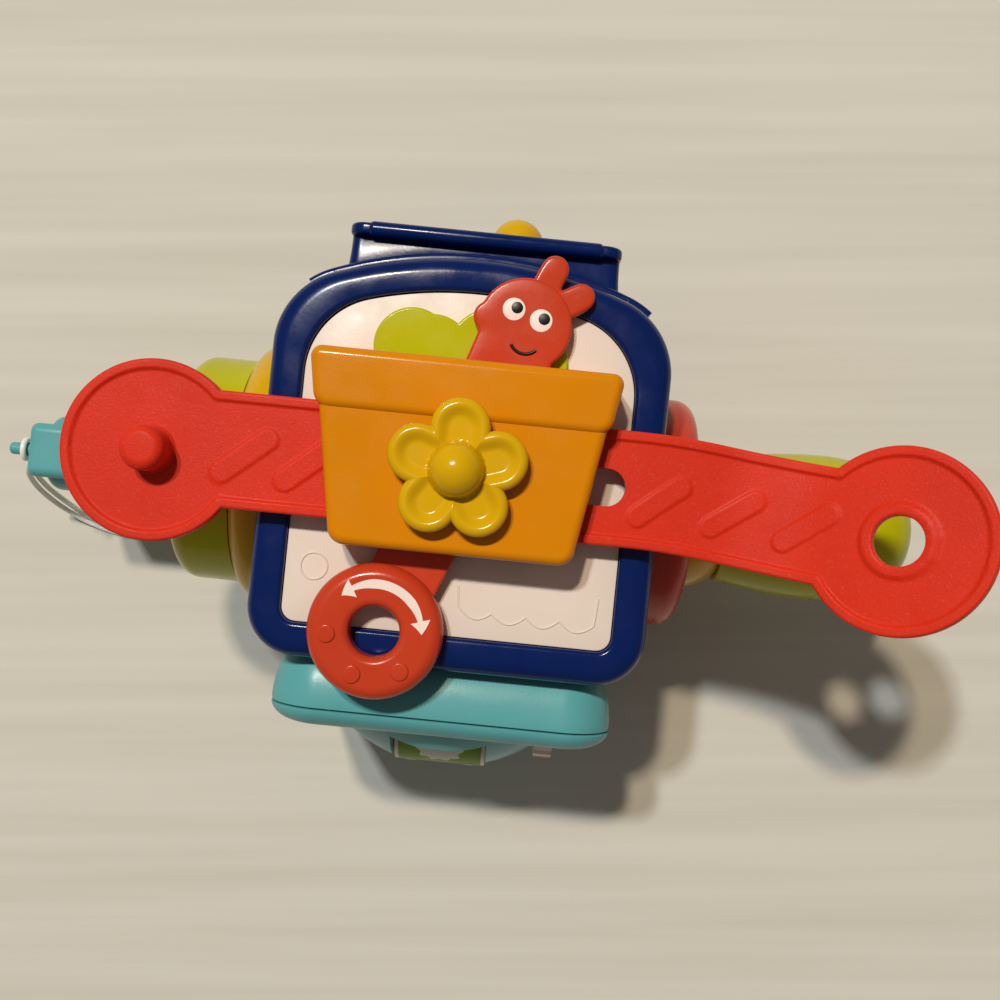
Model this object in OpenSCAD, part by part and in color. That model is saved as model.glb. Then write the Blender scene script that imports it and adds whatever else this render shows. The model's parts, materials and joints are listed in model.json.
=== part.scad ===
// Activity cube: an arched box whose faces each carry a toy to turn, slide, pull or tilt
// Origin on the floor below the lever's pivot, +X to the stick, +Y to the back, +Z up

/* [Body] */
// Half-width of the top frame
frame_half_w = 60; // [58:0.5:63]
// Distance from the pivot to the frame's front edge
frame_front = 59.2; // [58:0.2:61]
// Radius of the frame's front corners
front_corner_r = 15; // [12:1:18]
// Radius of the arch's shoulders
arch_side_r = 38; // [36:1:40]
// Radius of the arch's crown
arch_top_r = 95; // [90:1:105]
// Distance from the pivot to the arch's spring line
arch_spring = 21.4; // [20:0.2:23]
// Height of the frame's top face
top_z = 116; // [114:1:120]
// Height of the top frame
frame_t = 12; // [11:0.5:14]
// Width of the frame's rim
rim_w = 10.5; // [10:0.5:12]
// Radius of the frame's outer top edge
frame_round = 5; // [3:0.5:6]
// Width of the ledge under the white panel
ledge_w = 4; // [3:0.5:5]
// How far the core stands back from the frame's edge
core_inset = 1.5; // [1:0.1:2]
// Wall of the moulded shells
wall = 3; // [2.4:0.1:3.4]
// Thickness of the base cover
base_t = 4; // [3.6:0.1:5]

/* [Top face] */
// Thickness of the white panel
panel_t = 3; // [2.4:0.1:3.6]
// Depth of the panel below the rim
panel_drop = 2; // [1.8:0.1:2.4]
// Thickness of the bush inlay
leaf_t = 1.6; // [1.2:0.1:1.8]
// Width of the pot at its rim
pot_top_w = 87; // [85:0.5:90]
// Width of the pot at its foot
pot_foot_w = 69; // [67:0.5:72]
// Distance from the pivot to the pot's rim edge
pot_back = 30.5; // [29.5:0.5:32]
// Distance from the pivot to the pot's foot edge
pot_front = 23.8; // [23.4:0.2:25]
// Distance from the pivot to the lower edge of the rim band
pot_band = 14.2; // [12:0.2:18]
// How far the rim band stands proud
band_proud = 1.2; // [0.6:0.1:1.6]
// Height of the pot's roof above the frame
pot_h = 17.8; // [17.4:0.2:20]
// Wall of the pot
pot_wall = 2.6; // [2.2:0.1:3]
// Radius of the pot's upright corners
pot_corner_r = 5; // [4:0.5:6]
// Radius of the pot's top edge
pot_round = 3; // [2:0.5:3.5]
// Radius of the pot's pivot post
post_r = 5; // [4.6:0.1:5.2]

/* [Flower] */
// Distance from the flower's axis to a petal's centre
petal_reach = 11.8; // [11:0.2:12.4]
// Radius of a petal
petal_r = 8.4; // [7.6:0.1:8.6]
// Height of a petal
petal_h = 5.4; // [5:0.1:6]
// Radius of the flower's ball centre
ball_r = 7.7; // [7.2:0.1:8]

/* [Lever] */
// Lean of the ring arm from the Y axis, degrees
arm_lean = 22.6; // [20:0.2:24]
// Lean of the worm's neck from the Y axis, degrees
neck_lean = 18; // [16:0.2:20]
// Thickness of the lever
lever_t = 4; // [3.6:0.1:4.1]
// Distance from the pivot to the ring's centre
ring_reach = 52.4; // [51:0.2:54]
// Outer radius of the ring handle
ring_r = 20; // [19:0.5:21]
// Radius of the ring's finger hole
ring_hole_r = 7.4; // [7:0.1:8]
// Height of the ring handle
ring_h = 8; // [7:0.5:9]
// Width of the ring arm
arm_w = 21; // [19:0.5:22]
// Distance from the pivot to the head's centre
head_reach = 47.4; // [46:0.2:49]
// Radius of the head
head_r = 13.9; // [13:0.1:14.4]
// Width of the neck
neck_w = 24; // [22:0.5:25]
// Reach of a feeler from the head's centre
feeler_reach = 23; // [22:0.5:24]
// Width of a feeler
feeler_w = 9; // [8:0.5:10]
// Angle between the two feelers, degrees
feeler_spread = 41; // [38:1:46]

/* [Strap] */
// Width of the strap
strap_w = 34; // [32:0.5:34.5]
// Thickness of the strap's web
strap_t = 2.4; // [2:0.1:2.6]
// Width of the raised edge
bead_w = 3; // [2.4:0.1:3.4]
// Height of the raised edge
bead_h = 0.9; // [0.6:0.1:1.1]
// Radius of the strap's end discs
disc_r = 26.5; // [25:0.5:27]
// Distance from the pivot to the peg disc
peg_disc_x = 89.5; // [88:0.5:92]
// How far the peg disc stands to the front
peg_disc_y = 2.2; // [1:0.2:2.6]
// Radius of the peg
peg_r = 6.4; // [6:0.1:6.8]
// Height of the peg
peg_h = 11; // [10:0.5:12]
// Radius of the hole that takes a peg
hole_r = 7.1; // [7:0.1:7.4]
// Width of the collar round the hole
collar_w = 3; // [2.4:0.2:3.6]
// Width of the slot
slot_w = 11; // [10.8:0.1:11.4]
// Distance from the pivot to the slot's left end arc
slot_left = 8.5; // [8.2:0.1:10]
// Distance from the pivot to the slot's right end arc
slot_right = 43; // [42.6:0.2:43.6]
// Length of the flat run to the right of the pivot
flat_run = 50; // [49:0.5:52]
// Radius of the strap's sideways bend
side_bend_r = 200; // [190:5:240]
// Angle of the sideways bend, degrees
side_bend = 7; // [6:0.2:7.4]
// Radius of the strap's upward bend
rise_r = 63; // [58:1:70]
// Angle of the upward bend, degrees
rise = 30; // [26:1:33]
// Straight run from the bend to the hole
tail = 21; // [20.6:0.2:24]

/* [Dial] */
// Distance of the side axis in front of the pivot
side_y = 4.2; // [3.6:0.2:5]
// Height of the side axis
side_z = 59; // [58:0.5:60]
// Radius of the dial's base
dial_base_r = 44.5; // [44:0.5:46]
// Thickness of the dial's base
dial_base_t = 14.5; // [13:0.5:16]
// Radius of the dial
dial_r = 38; // [36:0.5:40]
// Thickness of the dial
dial_t = 20.6; // [18:0.2:22]
// Radius of the dial's spigot
spigot_r = 14; // [13.6:0.2:15]
// Radius of the spigot's socket
socket_r = 11.2; // [11:0.1:11.6]
// Radius of the plug's body
plug_r = 12.8; // [12.4:0.1:13.4]
// Length of the plug's body
plug_len = 46.5; // [44:0.5:48]
// Length of the plug's stem
stem_len = 31; // [28:0.5:32]
// Radius of the tether's rod
rod_r = 2.1; // [1.8:0.1:2.4]
// Length of the tether's rod
rod_len = 11.5; // [10:0.5:12]
// Diameter of a tether strand
tether_d = 2; // [1.6:0.1:2.2]

/* [Stick] */
// Radius of the stick's base
stick_base_r = 38.8; // [38.4:0.2:40]
// Thickness of the stick's base
stick_base_t = 16; // [15:0.5:17]
// Distance from the core to the ball's centre
ball_out = 11.5; // [11:0.5:12]
// Radius of the stick's ball
dome_r = 26; // [25.5:0.5:26.5]
// Radius of the stick's shaft
shaft_r = 5; // [4.6:0.1:5.4]
// Greatest radius of the knob
knob_r = 25; // [24:0.5:26]
// Radius of the knob's rear mouth
knob_mouth_r = 21.5; // [20.5:0.5:22]
// Distance from the ball's centre to the knob's mouth
knob_start = 17; // [16:0.5:18]
// Length of the knob's rear half
knob_rear_len = 34; // [32:0.5:36]
// Length of the knob's front half
knob_front_len = 31; // [29:0.5:33]

/* [Roller] */
// Half-width of the roller case
case_half_w = 53.5; // [52:0.5:55]
// Half-height of the roller case
case_half_h = 50; // [49:0.5:51]
// Height of the roller's axis
roller_z = 58; // [57:0.5:59]
// Depth of the case's rear shell
case_rear_d = 17.5; // [17.2:0.1:18]
// Depth of the case's front shell
case_front_d = 6.1; // [6:0.1:6.6]
// Radius of the case's corners
case_corner_r = 16; // [14:1:20]
// Radius of the boss's foot
boss_foot_r = 32; // [31:0.5:33]
// Height of the boss
boss_rise = 16.7; // [16.4:0.1:17.2]
// Radius of the picture roller
roller_r = 19.2; // [18.6:0.1:19.3]
// Half-width of the picture roller
roller_half_w = 15.2; // [14:0.2:15.6]
// Distance from the core to the roller's axis
roller_out = 20.4; // [20.3:0.1:20.6]
// Radius of the roller's axle
axle_r = 3; // [2.6:0.1:3.2]

/* [Slider] */
// Half-width of the saddle on the arch
saddle_half_w = 51.4; // [50:0.2:52]
// How far the saddle stands out from the frame's edge
saddle_proud = 2; // [1.6:0.1:2.4]
// Half-width of the slider's flange
flange_half_w = 42.7; // [42:0.1:44]
// Distance from the pivot to the flange's face
flange_y = 75.7; // [75:0.1:77]
// Thickness of the flange
flange_t = 3.7; // [3.4:0.1:4.2]
// Radius of the slider's knob
slider_r = 8.5; // [8:0.1:9]
// Where the slider's knob rests along the slot
slider_x = 9.4; // [9:0.1:10]
// Height of the slider's slot
slider_z = 81; // [80:0.5:82]
// Travel of the slider's knob to the left
slide_left = 34; // [30:1:35]
// Travel of the slider's knob to the right
slide_right = 16; // [12:1:17]

/* [Fasteners and fits] */
// Radius of a screw's shank
screw_r = 1.5; // [1.3:0.1:1.7]
// Radius of a screw's head
screw_head_r = 3; // [2.8:0.1:3.2]
// Height of a screw's head
screw_head_h = 2; // [1.6:0.1:2]
// Radius of a screw boss
boss_r = 5; // [4.6:0.1:5.4]
// Clearance of a screw in its pilot hole
pilot_play = 0.04; // [0.02:0.01:0.08]
// Clearance of a screw in a through hole
hole_play = 0.3; // [0.2:0.05:0.4]
// Clearance of a turning fit
run_play = 0.05; // [0.03:0.01:0.08]
// Gap between pieces that pass each other
gap = 0.3; // [0.25:0.05:0.4]

/* [Hidden] */
$fn = 64;

// Overlap of fused shapes, and how far a cut runs past a face
eps = 0.01;
cut = 1;

// Levels of the body
core_half = frame_half_w - core_inset;
core_front = frame_front - core_inset;
core_top = top_z - frame_t;
panel_top = top_z - panel_drop;
panel_bottom = panel_top - panel_t;

// Centres of the arch's three arcs
arch_side_x = frame_half_w - arch_side_r;
arch_gap = arch_top_r - arch_side_r;
arch_top_y = arch_spring - sqrt(arch_gap * arch_gap - arch_side_x * arch_side_x);
arch_half_angle = asin(arch_side_x / arch_gap);
least_corner_r = 0.5;

// Screw bosses in the core's four corners
boss_sink = 1;
boss_in = core_inset + wall + boss_r - boss_sink;
boss_shoulder = (arch_side_r - boss_in) * cos(45);
boss_x = frame_half_w - boss_in;
boss_front_y = front_corner_r - frame_front;
boss_xy = [
    for (s = [-1, 1], p = [[boss_x, boss_front_y], [arch_side_x + boss_shoulder, arch_spring + boss_shoulder]])
        [s * p[0], p[1]]
];
base_boss_h = 20;
lug_h = 4;
pilot_r = screw_r + pilot_play;
through_r = screw_r + hole_play;
bite = 8;

// Round turrets on the core's sides that carry the dial and the stick
turret_r = dial_base_r - 3;
dial_screw_ring = turret_r - wall - screw_head_r - cut;
stick_hole_r = dome_r + 3;
stick_screw_ring = (stick_hole_r + stick_base_r) / 2;
three_ways = [30, 150, 270];

// Levels above the frame
lever_z = top_z + 0.5;
strap_z = lever_z + lever_t + 0.5;
roof_top = top_z + pot_h;
strap_room = 3.2;
roof_bottom = roof_top - pot_wall;
rib_bottom = strap_z + strap_t + bead_h + strap_room;
hub_w = 4;
hub_r = post_r + hub_w;
post_play = 0.2;
panel_play = 0.2;

// Bush: place and radius of each lobe
leaf_lobes = [[-18.1, 36.5, 11.5], [-12, 34.6, 12], [5.5, 37, 12.9], [17, 35, 11.6]];

// Pot
pot_half_top = pot_top_w / 2;
pot_half_foot = pot_foot_w / 2;
pot_slope = (pot_half_top - pot_half_foot) / (pot_back + pot_front);
strap_open_back = strap_w / 2 + 1;
strap_open_more = 4.5;
strap_open_front = strap_w / 2 + strap_open_more;
neck_open = 29;
arm_open = 23;
pot_boss_r = 3.4;
pot_boss_in = 6.2;
pot_boss_x = pot_half_top - pot_boss_in - pot_slope * pot_boss_in;
pot_boss_y = pot_back - pot_boss_in;

// Flower and its pin
flower_z = roof_top + band_proud + gap;
pin_shank_r = 2.5;
pin_shank_h = 9;
pin_journal_r = 3;
pin_head_r = 4.6;
pin_head_h = 1.6;
flower_floor = 3.3;
flower_hub_r = ball_r + 0.5;
pin_head_z = flower_z + flower_floor + gap;
cap_z = pin_head_z + pin_head_h + gap;
petals = 5;
petal_lip = 2;
dish = 1.6;

// Lever: the cheek on the head's left, and the three studs on the ring
cheek_turn = 100;
cheek_proud = 1.5;
stud_turns = [210, 271, 332];
stud_r = 2.7;
stud_h = 0.6;

// Strap: the lap of its straight end over the bend, and how much thicker that end is all round
strap_lap = 0.4;
strap_skin = 0.02;

// Side axis levels, measured outwards from the core's faces
dial_base_round = 8;
dial_round = 6;
retainer_t = 2;
dial_at = dial_base_t + gap;
spigot_end = dial_at + dial_t + gap;
plug_at = spigot_end + retainer_t + gap;
socket_floor = plug_at - stem_len - 1.5;
block_w = 18;
block_h = 28;
block_len = 17;
block_t = 4;
rod_at = plug_at + plug_len + block_t;
loop_at = rod_at + 6;
tether_r = tether_d / 2;
loop_r = rod_r + tether_r + 0.1;

// Tether route from the loop under the rod to the anchor, in millimetres
tether_points = [
    [-153, -4.2, 53.8], [-156, -6, 48.5], [-160.5, -11, 37], [-161, -17, 23], [-157.5, -23, 9.5],
    [-150, -28, 2.5], [-140, -31, 1.2], [-128, -32, 1.2], [-114, -30, 1.2], [-100, -25, 1.2], [-86, -20, 1.2],
    [-74, -17, 3], [-63.6, -17, 8]
];
tether_pitch = 2.6;
tether_steps = 3;
tether_sides = 8;
anchor_y = -17;
anchor_z = 8;
anchor_len = 4.5;
anchor_r = 4;

// Stick
stick_base_round = 7;
pin_r = 1.5;
ring_in = 12;
ring_out = 16.5;
ring_half_t = 3;
yoke_in = ring_out + 1;
yoke_out = yoke_in + 2.5;
yoke_half_w = 4;
bracket_t = 3.5;
bracket_out = stick_hole_r + 8.5;
dome_wall = 3;
dome_cut = 3;
ball_play = 0.5;
shaft_hub_r = 6;
shaft_hub_half = 9.5;
collar_r = 8;
collar_h = 6;
knob_at = ball_out + knob_start;
knob_mid = knob_at + knob_rear_len;
shaft_end = knob_mid + 18;
knob_tube_r = shaft_r + 4;
knob_solid = 14;
knob_power = 0.7;
dome_in = dome_r - dome_wall;

// Roller case, measured outwards from the core's front face
case_d = case_rear_d + case_front_d;
case_soft_rear = 7;
case_soft_front = 10;
case_bite = case_front_d - 1.6;
case_screw_x = 40;
case_screw_y = 36;
boss_sphere_r = (boss_foot_r * boss_foot_r + boss_rise * boss_rise) / (2 * boss_rise);
boss_sphere_z = case_d + boss_rise - boss_sphere_r;
window_half_w = roller_half_w + 0.4;
window_half_h = 21;
wheel_r = roller_r - 4.7;
wheel_x = 31.5;
wheel_w = 6;
turn_room = 1.5;
rear_room = 12;
bearing_x = 20;
bearing_w = 4;
bearing_r = axle_r + 1.6;
axle_hub_r = axle_r + 3;

// Back housing
saddle_bottom = 20;
saddle_top = core_top - 1.3;
neck_half_w = flange_half_w - 3;
neck_bottom = 26;
neck_top = 96;
flange_bottom = 22;
flange_top = 100;
flange_back = flange_y - flange_t;
flange_corner_r = 5;
ridge_r = 3;
ridge_half_w = flange_half_w - 6;
seat_play = 0.1;
back_screw_x = 31;
back_screw_z = [40, 66];
back_pad_y = 48;
stem_r = 2.6;
stem_play = 0.2;
shoe_half_w = 6;
shoe_half_h = 5;
shoe_t = 3.2;
shoe_front = flange_back - gap;
slider_y = flange_y + 1.4;

// Moulded outline of the box, set in by d
module tomb(d) {
    half_w = frame_half_w - d;
    corner_r = max(front_corner_r - d, least_corner_r);
    front = d - frame_front;
    wedge = 2 * arch_top_r;
    translate([-half_w, front + corner_r]) square([2 * half_w, arch_spring - front - corner_r]);
    translate([corner_r - half_w, front]) square([2 * (half_w - corner_r), corner_r + eps]);
    for (s = [-1, 1]) {
        translate([s * (half_w - corner_r), front + corner_r]) circle(r = corner_r);
        translate([s * arch_side_x, arch_spring]) circle(r = arch_side_r - d);
    }
    intersection() {
        translate([0, arch_top_y]) circle(r = arch_top_r - d, $fn = 128);
        polygon([
            [0, arch_top_y],
            [wedge * sin(arch_half_angle), arch_top_y + wedge * cos(arch_half_angle)],
            [-wedge * sin(arch_half_angle), arch_top_y + wedge * cos(arch_half_angle)]
        ]);
    }
}

// Upright prism on the moulded outline
module prism(d, low, high) {
    translate([0, 0, low]) linear_extrude(high - low) tomb(d);
}

// Frames of the four sides: local z points away from the core
module at_dial() translate([-core_half, -side_y, side_z]) rotate([0, -90, 0]) children();
module at_stick() translate([core_half, -side_y, side_z]) rotate([0, 90, 0]) children();
module at_roller() translate([0, -core_front, roller_z]) rotate([90, 0, 0]) children();
module at_back(x, y, z) translate([x, y, z]) rotate([-90, 0, 0]) children();

// Round disc with a rounded front edge
module round_disc(r, h, round) {
    rotate_extrude() {
        square([r - round, h]);
        square([r, h - round]);
        translate([r - round, h - round]) intersection() {
            circle(r = round);
            square(round);
        }
    }
}

// Flat ring
module ring(r_out, r_in, h) {
    difference() {
        cylinder(r = r_out, h = h);
        translate([0, 0, -cut]) cylinder(r = r_in, h = h + 2 * cut);
    }
}

// Rectangle with round corners
module round_rect(half_w, half_h, r) {
    square([2 * half_w, 2 * (half_h - r)], center = true);
    square([2 * (half_w - r), 2 * half_h], center = true);
    for (x = [-1, 1], y = [-1, 1]) translate([x * (half_w - r), y * (half_h - r)]) circle(r = r);
}

// Screw with its head below z = 0 and its shank along +z
module screw(grip) {
    difference() {
        union() {
            translate([0, 0, -screw_head_h]) cylinder(r = screw_head_r, h = screw_head_h);
            translate([0, 0, -eps]) cylinder(r = screw_r, h = grip + eps);
        }
        for (a = [0, 90])
            rotate(a) translate([0, 0, -screw_head_h]) cube([screw_head_r * 1.2, 0.8, 1.8], center = true);
    }
}

// Places around a circle in a side's frame
module around(ring_r) {
    for (a = three_ways) rotate(a) translate([ring_r, 0, 0]) children();
}

// Places of the roller case's screws
module at_case_screws() {
    for (x = [-1, 1], y = [-1, 1]) translate([x * case_screw_x, y * case_screw_y, 0]) children();
}

// Arched box that carries every face
module core_shell() color("midnightblue") difference() {
    union() {
        difference() {
            union() {
                prism(core_inset, base_t, core_top);
                at_dial() mirror([0, 0, 1]) cylinder(r = turret_r, h = 2 * core_half);
            }
            prism(core_inset + wall, base_t - cut, core_top + cut);
            at_dial() translate([0, 0, wall - 2 * core_half])
                cylinder(r = turret_r - wall, h = 2 * (core_half - wall));
        }
        for (p = boss_xy) {
            translate([p[0], p[1], base_t]) cylinder(r = boss_r, h = base_boss_h);
            translate([p[0], p[1], core_top - lug_h]) cylinder(r = boss_r, h = lug_h);
        }
        intersection() {
            prism(core_inset, base_t, core_top);
            for (x = [-1, 1], z = back_screw_z)
                at_back(x * back_screw_x, back_pad_y, z) cylinder(r = boss_r, h = wall * 5);
        }
    }
    for (p = boss_xy) {
        translate([p[0], p[1], base_t - cut]) cylinder(r = pilot_r, h = bite * 2);
        translate([p[0], p[1], core_top - lug_h - cut]) cylinder(r = through_r, h = lug_h + 2 * cut);
    }
    at_dial() around(dial_screw_ring) translate([0, 0, -wall - cut])
        cylinder(r = through_r, h = wall + 2 * cut);
    at_stick() {
        translate([0, 0, -wall - cut]) cylinder(r = stick_hole_r, h = wall + 2 * cut);
        around(stick_screw_ring) translate([0, 0, -wall - cut]) cylinder(r = through_r, h = wall + 2 * cut);
    }
    at_roller() at_case_screws() translate([0, 0, -wall - cut]) cylinder(r = through_r, h = wall + 2 * cut);
    for (x = [-1, 1], z = back_screw_z)
        at_back(x * back_screw_x, back_pad_y - cut, z) cylinder(r = through_r, h = wall * 6);
}

// Floor plate with sunk screw holes
module base_cover() color("midnightblue") difference() {
    prism(core_inset, 0, base_t);
    for (p = boss_xy) translate([p[0], p[1], -cut]) {
        cylinder(r = through_r, h = base_t + 2 * cut);
        cylinder(r = screw_head_r + hole_play, h = screw_head_h + gap + cut);
    }
}

module base_screws() color("silver") {
    for (p = boss_xy) translate([p[0], p[1], screw_head_h + gap]) screw(base_t + bite);
}

// Rim with a rounded outer edge and a ledge for the panel
module top_frame() color("midnightblue") difference() {
    hull() {
        prism(0, core_top, top_z - frame_round);
        for (a = [30, 60, 90]) {
            level = top_z - frame_round + frame_round * sin(a);
            prism(frame_round * (1 - cos(a)), level - eps, level);
        }
    }
    prism(rim_w, panel_bottom, top_z + cut);
    prism(rim_w + ledge_w, core_top - cut, panel_bottom + cut);
    for (p = boss_xy) translate([p[0], p[1], core_top - cut]) cylinder(r = pilot_r, h = bite + cut);
}

module frame_screws() color("silver") {
    for (p = boss_xy) translate([p[0], p[1], core_top - lug_h]) screw(lug_h + bite - 1);
}

// Panel in the frame, with a raised seat round the pivot
module white_panel() color("white") difference() {
    union() {
        prism(rim_w + panel_play, panel_bottom, panel_top);
        translate([0, 0, panel_top - eps]) cylinder(r = hub_r, h = lever_z - gap - panel_top + eps);
    }
    translate([0, 0, panel_top]) cylinder(r = post_r + post_play, h = frame_t);
    translate([0, 0, panel_bottom - cut]) cylinder(r = through_r, h = panel_t + 2 * cut);
    for (s = [-1, 1])
        translate([s * pot_boss_x, pot_boss_y, panel_bottom - cut])
            cylinder(r = through_r, h = panel_t + 2 * cut);
}

// Bush behind the pot: round lobes above the pot's rim
module leaf_inlay() color("yellowgreen") translate([0, 0, panel_top]) linear_extrude(leaf_t) intersection() {
    for (lobe = leaf_lobes) translate([lobe[0], lobe[1]]) circle(r = lobe[2]);
    translate([-frame_half_w, pot_back + band_proud + gap]) square([2 * frame_half_w, frame_half_w]);
}

// Rounded block between two lines across the pot, with its top at high
module pot_skin(front, back, proud, high) {
    hull() for (y = [front, back], s = [-1, 1], a = [0, 30, 60, 90]) {
        half = pot_half_foot + pot_slope * (y + pot_front) + proud - pot_corner_r;
        inset = y == front ? pot_corner_r : -pot_corner_r;
        level = a == 0 ? panel_top : high - pot_round + pot_round * sin(a);
        translate([s * half, y + inset, level - (a == 0 ? 0 : eps)])
            cylinder(r = pot_corner_r - pot_round * (1 - cos(a)), h = eps, $fn = 32);
    }
}

// Pot: a roof on corner walls, open at the sides for the strap and at the ends for the lever
module flowerpot() color("orange") difference() {
    union() {
        difference() {
            union() {
                pot_skin(-pot_front, pot_back, 0, roof_top);
                pot_skin(pot_band, pot_back + band_proud, band_proud, roof_top + band_proud);
            }
            translate([0, 0, panel_top - cut]) linear_extrude(roof_bottom - panel_top + cut) polygon([
                for (c = [[1, pot_back], [-1, pot_back], [-1, -pot_front], [1, -pot_front]])
                    [c[0] * (pot_half_foot + pot_slope * (c[1] + pot_front) - pot_wall),
                     c[1] - sign(c[1]) * pot_wall]
            ]);
        }
        translate([0, 0, panel_top]) cylinder(r = post_r, h = roof_bottom - panel_top + eps);
        for (s = [-1, 1]) {
            translate([s * pot_boss_x, pot_boss_y, panel_top])
                cylinder(r = pot_boss_r, h = roof_bottom - panel_top + eps);
            translate([-pot_half_foot + pot_wall, s * strap_w / 3 - 1, rib_bottom])
                cube([2 * (pot_half_foot - pot_wall), 2, roof_bottom - rib_bottom + eps]);
        }
    }
    for (s = [-1, 1]) translate([s * pot_half_top, 0, 0])
        translate([-pot_half_top / 3, -strap_open_front, panel_top - cut])
            cube([2 * pot_half_top / 3, strap_open_front + strap_open_back, rib_bottom - panel_top + cut]);
    translate([-neck_open, pot_back - 2 * pot_wall, panel_top - cut])
        cube([2 * neck_open, 4 * pot_wall, strap_z - panel_top + cut]);
    translate([-arm_open, -pot_front - pot_wall, panel_top - cut])
        cube([2 * arm_open, 3 * pot_wall, strap_z - panel_top + cut]);
    translate([0, 0, panel_top - cut]) cylinder(r = pilot_r, h = bite + cut);
    translate([0, 0, roof_top - pin_shank_h - cut])
        cylinder(r = pin_shank_r + pilot_play, h = pin_shank_h + 2 * cut);
    for (s = [-1, 1])
        translate([s * pot_boss_x, pot_boss_y, panel_top - cut]) cylinder(r = pilot_r, h = bite + cut);
}

module pot_screws() color("silver") translate([0, 0, panel_bottom]) {
    screw(panel_t + bite - 1);
    for (s = [-1, 1]) translate([s * pot_boss_x, pot_boss_y, 0]) screw(panel_t + bite - 1);
}

// Shouldered pin pressed into the pot's post
module flower_pin() color("silver") {
    translate([0, 0, roof_top - pin_shank_h]) cylinder(r = pin_shank_r, h = pin_shank_h + eps);
    translate([0, 0, roof_top]) cylinder(r = pin_journal_r, h = pin_head_z - roof_top + eps);
    translate([0, 0, pin_head_z]) cylinder(r = pin_head_r, h = pin_head_h);
}

// Petal: a thick disc with a lip round a dish
module petal() {
    dish_r = ((petal_r - petal_lip) * (petal_r - petal_lip) + dish * dish) / (2 * dish);
    difference() {
        cylinder(r = petal_r, h = petal_h);
        translate([0, 0, petal_h - dish + dish_r]) sphere(r = dish_r);
    }
}

// Spinner of five petals round a hub that the pin's head holds down
module flower() color("gold") difference() {
    union() {
        for (i = [0 : petals - 1])
            rotate(90 + i * 360 / petals) translate([petal_reach, 0, flower_z]) petal();
        translate([0, 0, flower_z]) cylinder(r = flower_hub_r, h = cap_z - flower_z);
    }
    translate([0, 0, flower_z - cut]) cylinder(r = pin_journal_r + run_play, h = flower_floor + 2 * cut);
    translate([0, 0, flower_z + flower_floor]) cylinder(r = pin_head_r + gap, h = ball_r);
}

module flower_cap() color("gold") intersection() {
    translate([0, 0, cap_z]) sphere(r = ball_r);
    translate([0, 0, cap_z]) cylinder(r = 2 * ball_r, h = 2 * ball_r);
}

// Capsule of width w from the origin along +y
module finger(reach, w) {
    translate([-w / 2, 0]) square([w, reach - w / 2]);
    translate([0, reach - w / 2]) circle(d = w);
}

// Lever on the pot's post: a ring handle at one end, a worm's head at the other
module worm_lever() color("tomato") difference() {
    union() {
        translate([0, 0, lever_z]) linear_extrude(lever_t) {
            circle(r = arm_w / 2 + 1);
            rotate(180 - arm_lean) translate([-arm_w / 2, 0]) square([arm_w, ring_reach]);
            rotate(-neck_lean) {
                translate([-neck_w / 2, 0]) square([neck_w, head_reach]);
                translate([0, head_reach]) {
                    circle(r = head_r);
                    for (a = [0, -feeler_spread]) rotate(a) finger(feeler_reach, feeler_w);
                    rotate(cheek_turn) finger(head_r + cheek_proud, feeler_w);
                }
            }
        }
        rotate(-arm_lean) translate([0, -ring_reach, lever_z]) {
            round_disc(ring_r, ring_h, 4);
            for (a = stud_turns)
                rotate(a) translate([(ring_r + ring_hole_r) / 2, 0, ring_h - eps])
                    cylinder(r = stud_r, h = stud_h);
        }
    }
    translate([0, 0, lever_z - cut]) cylinder(r = post_r + run_play, h = lever_t + 2 * cut);
    rotate(-arm_lean) translate([0, -ring_reach, lever_z - cut])
        cylinder(r = ring_hole_r, h = ring_h + 3 * cut);
}

// Strap section pieces: the web and its raised edges, from the strap's lower face up
module strap_section() {
    translate([-strap_w / 2, 0]) square([strap_w, strap_t]);
    for (s = [-1, 1])
        translate([s * (strap_w - bead_w) / 2 - bead_w / 2, 0]) square([bead_w, strap_t + bead_h]);
}

// Frame at the end of the sideways bend, and at the end of the upward bend
module after_side_bend() {
    translate([flat_run, -side_bend_r, 0]) rotate(-side_bend) translate([0, side_bend_r, 0]) children();
}
module after_rise() {
    after_side_bend() translate([0, 0, rise_r]) rotate([0, -rise, 0]) translate([0, 0, -rise_r]) children();
}

// Outlines of the flat run with its peg disc, and of the rising end with its holed disc, set in by d
module strap_flat_outline(d) {
    translate([-peg_disc_x, -peg_disc_y]) circle(r = disc_r - d);
    translate([-peg_disc_x, d - strap_w / 2]) square([peg_disc_x + flat_run, strap_w - 2 * d]);
}
module strap_end_outline(d) intersection() {
    union() {
        translate([tail, 0]) circle(r = disc_r - d);
        translate([-strap_lap, d - strap_w / 2]) square([tail + strap_lap, strap_w - 2 * d]);
    }
    translate([-strap_lap, -2 * disc_r]) square([tail + 2 * disc_r, 4 * disc_r]);
}

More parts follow.
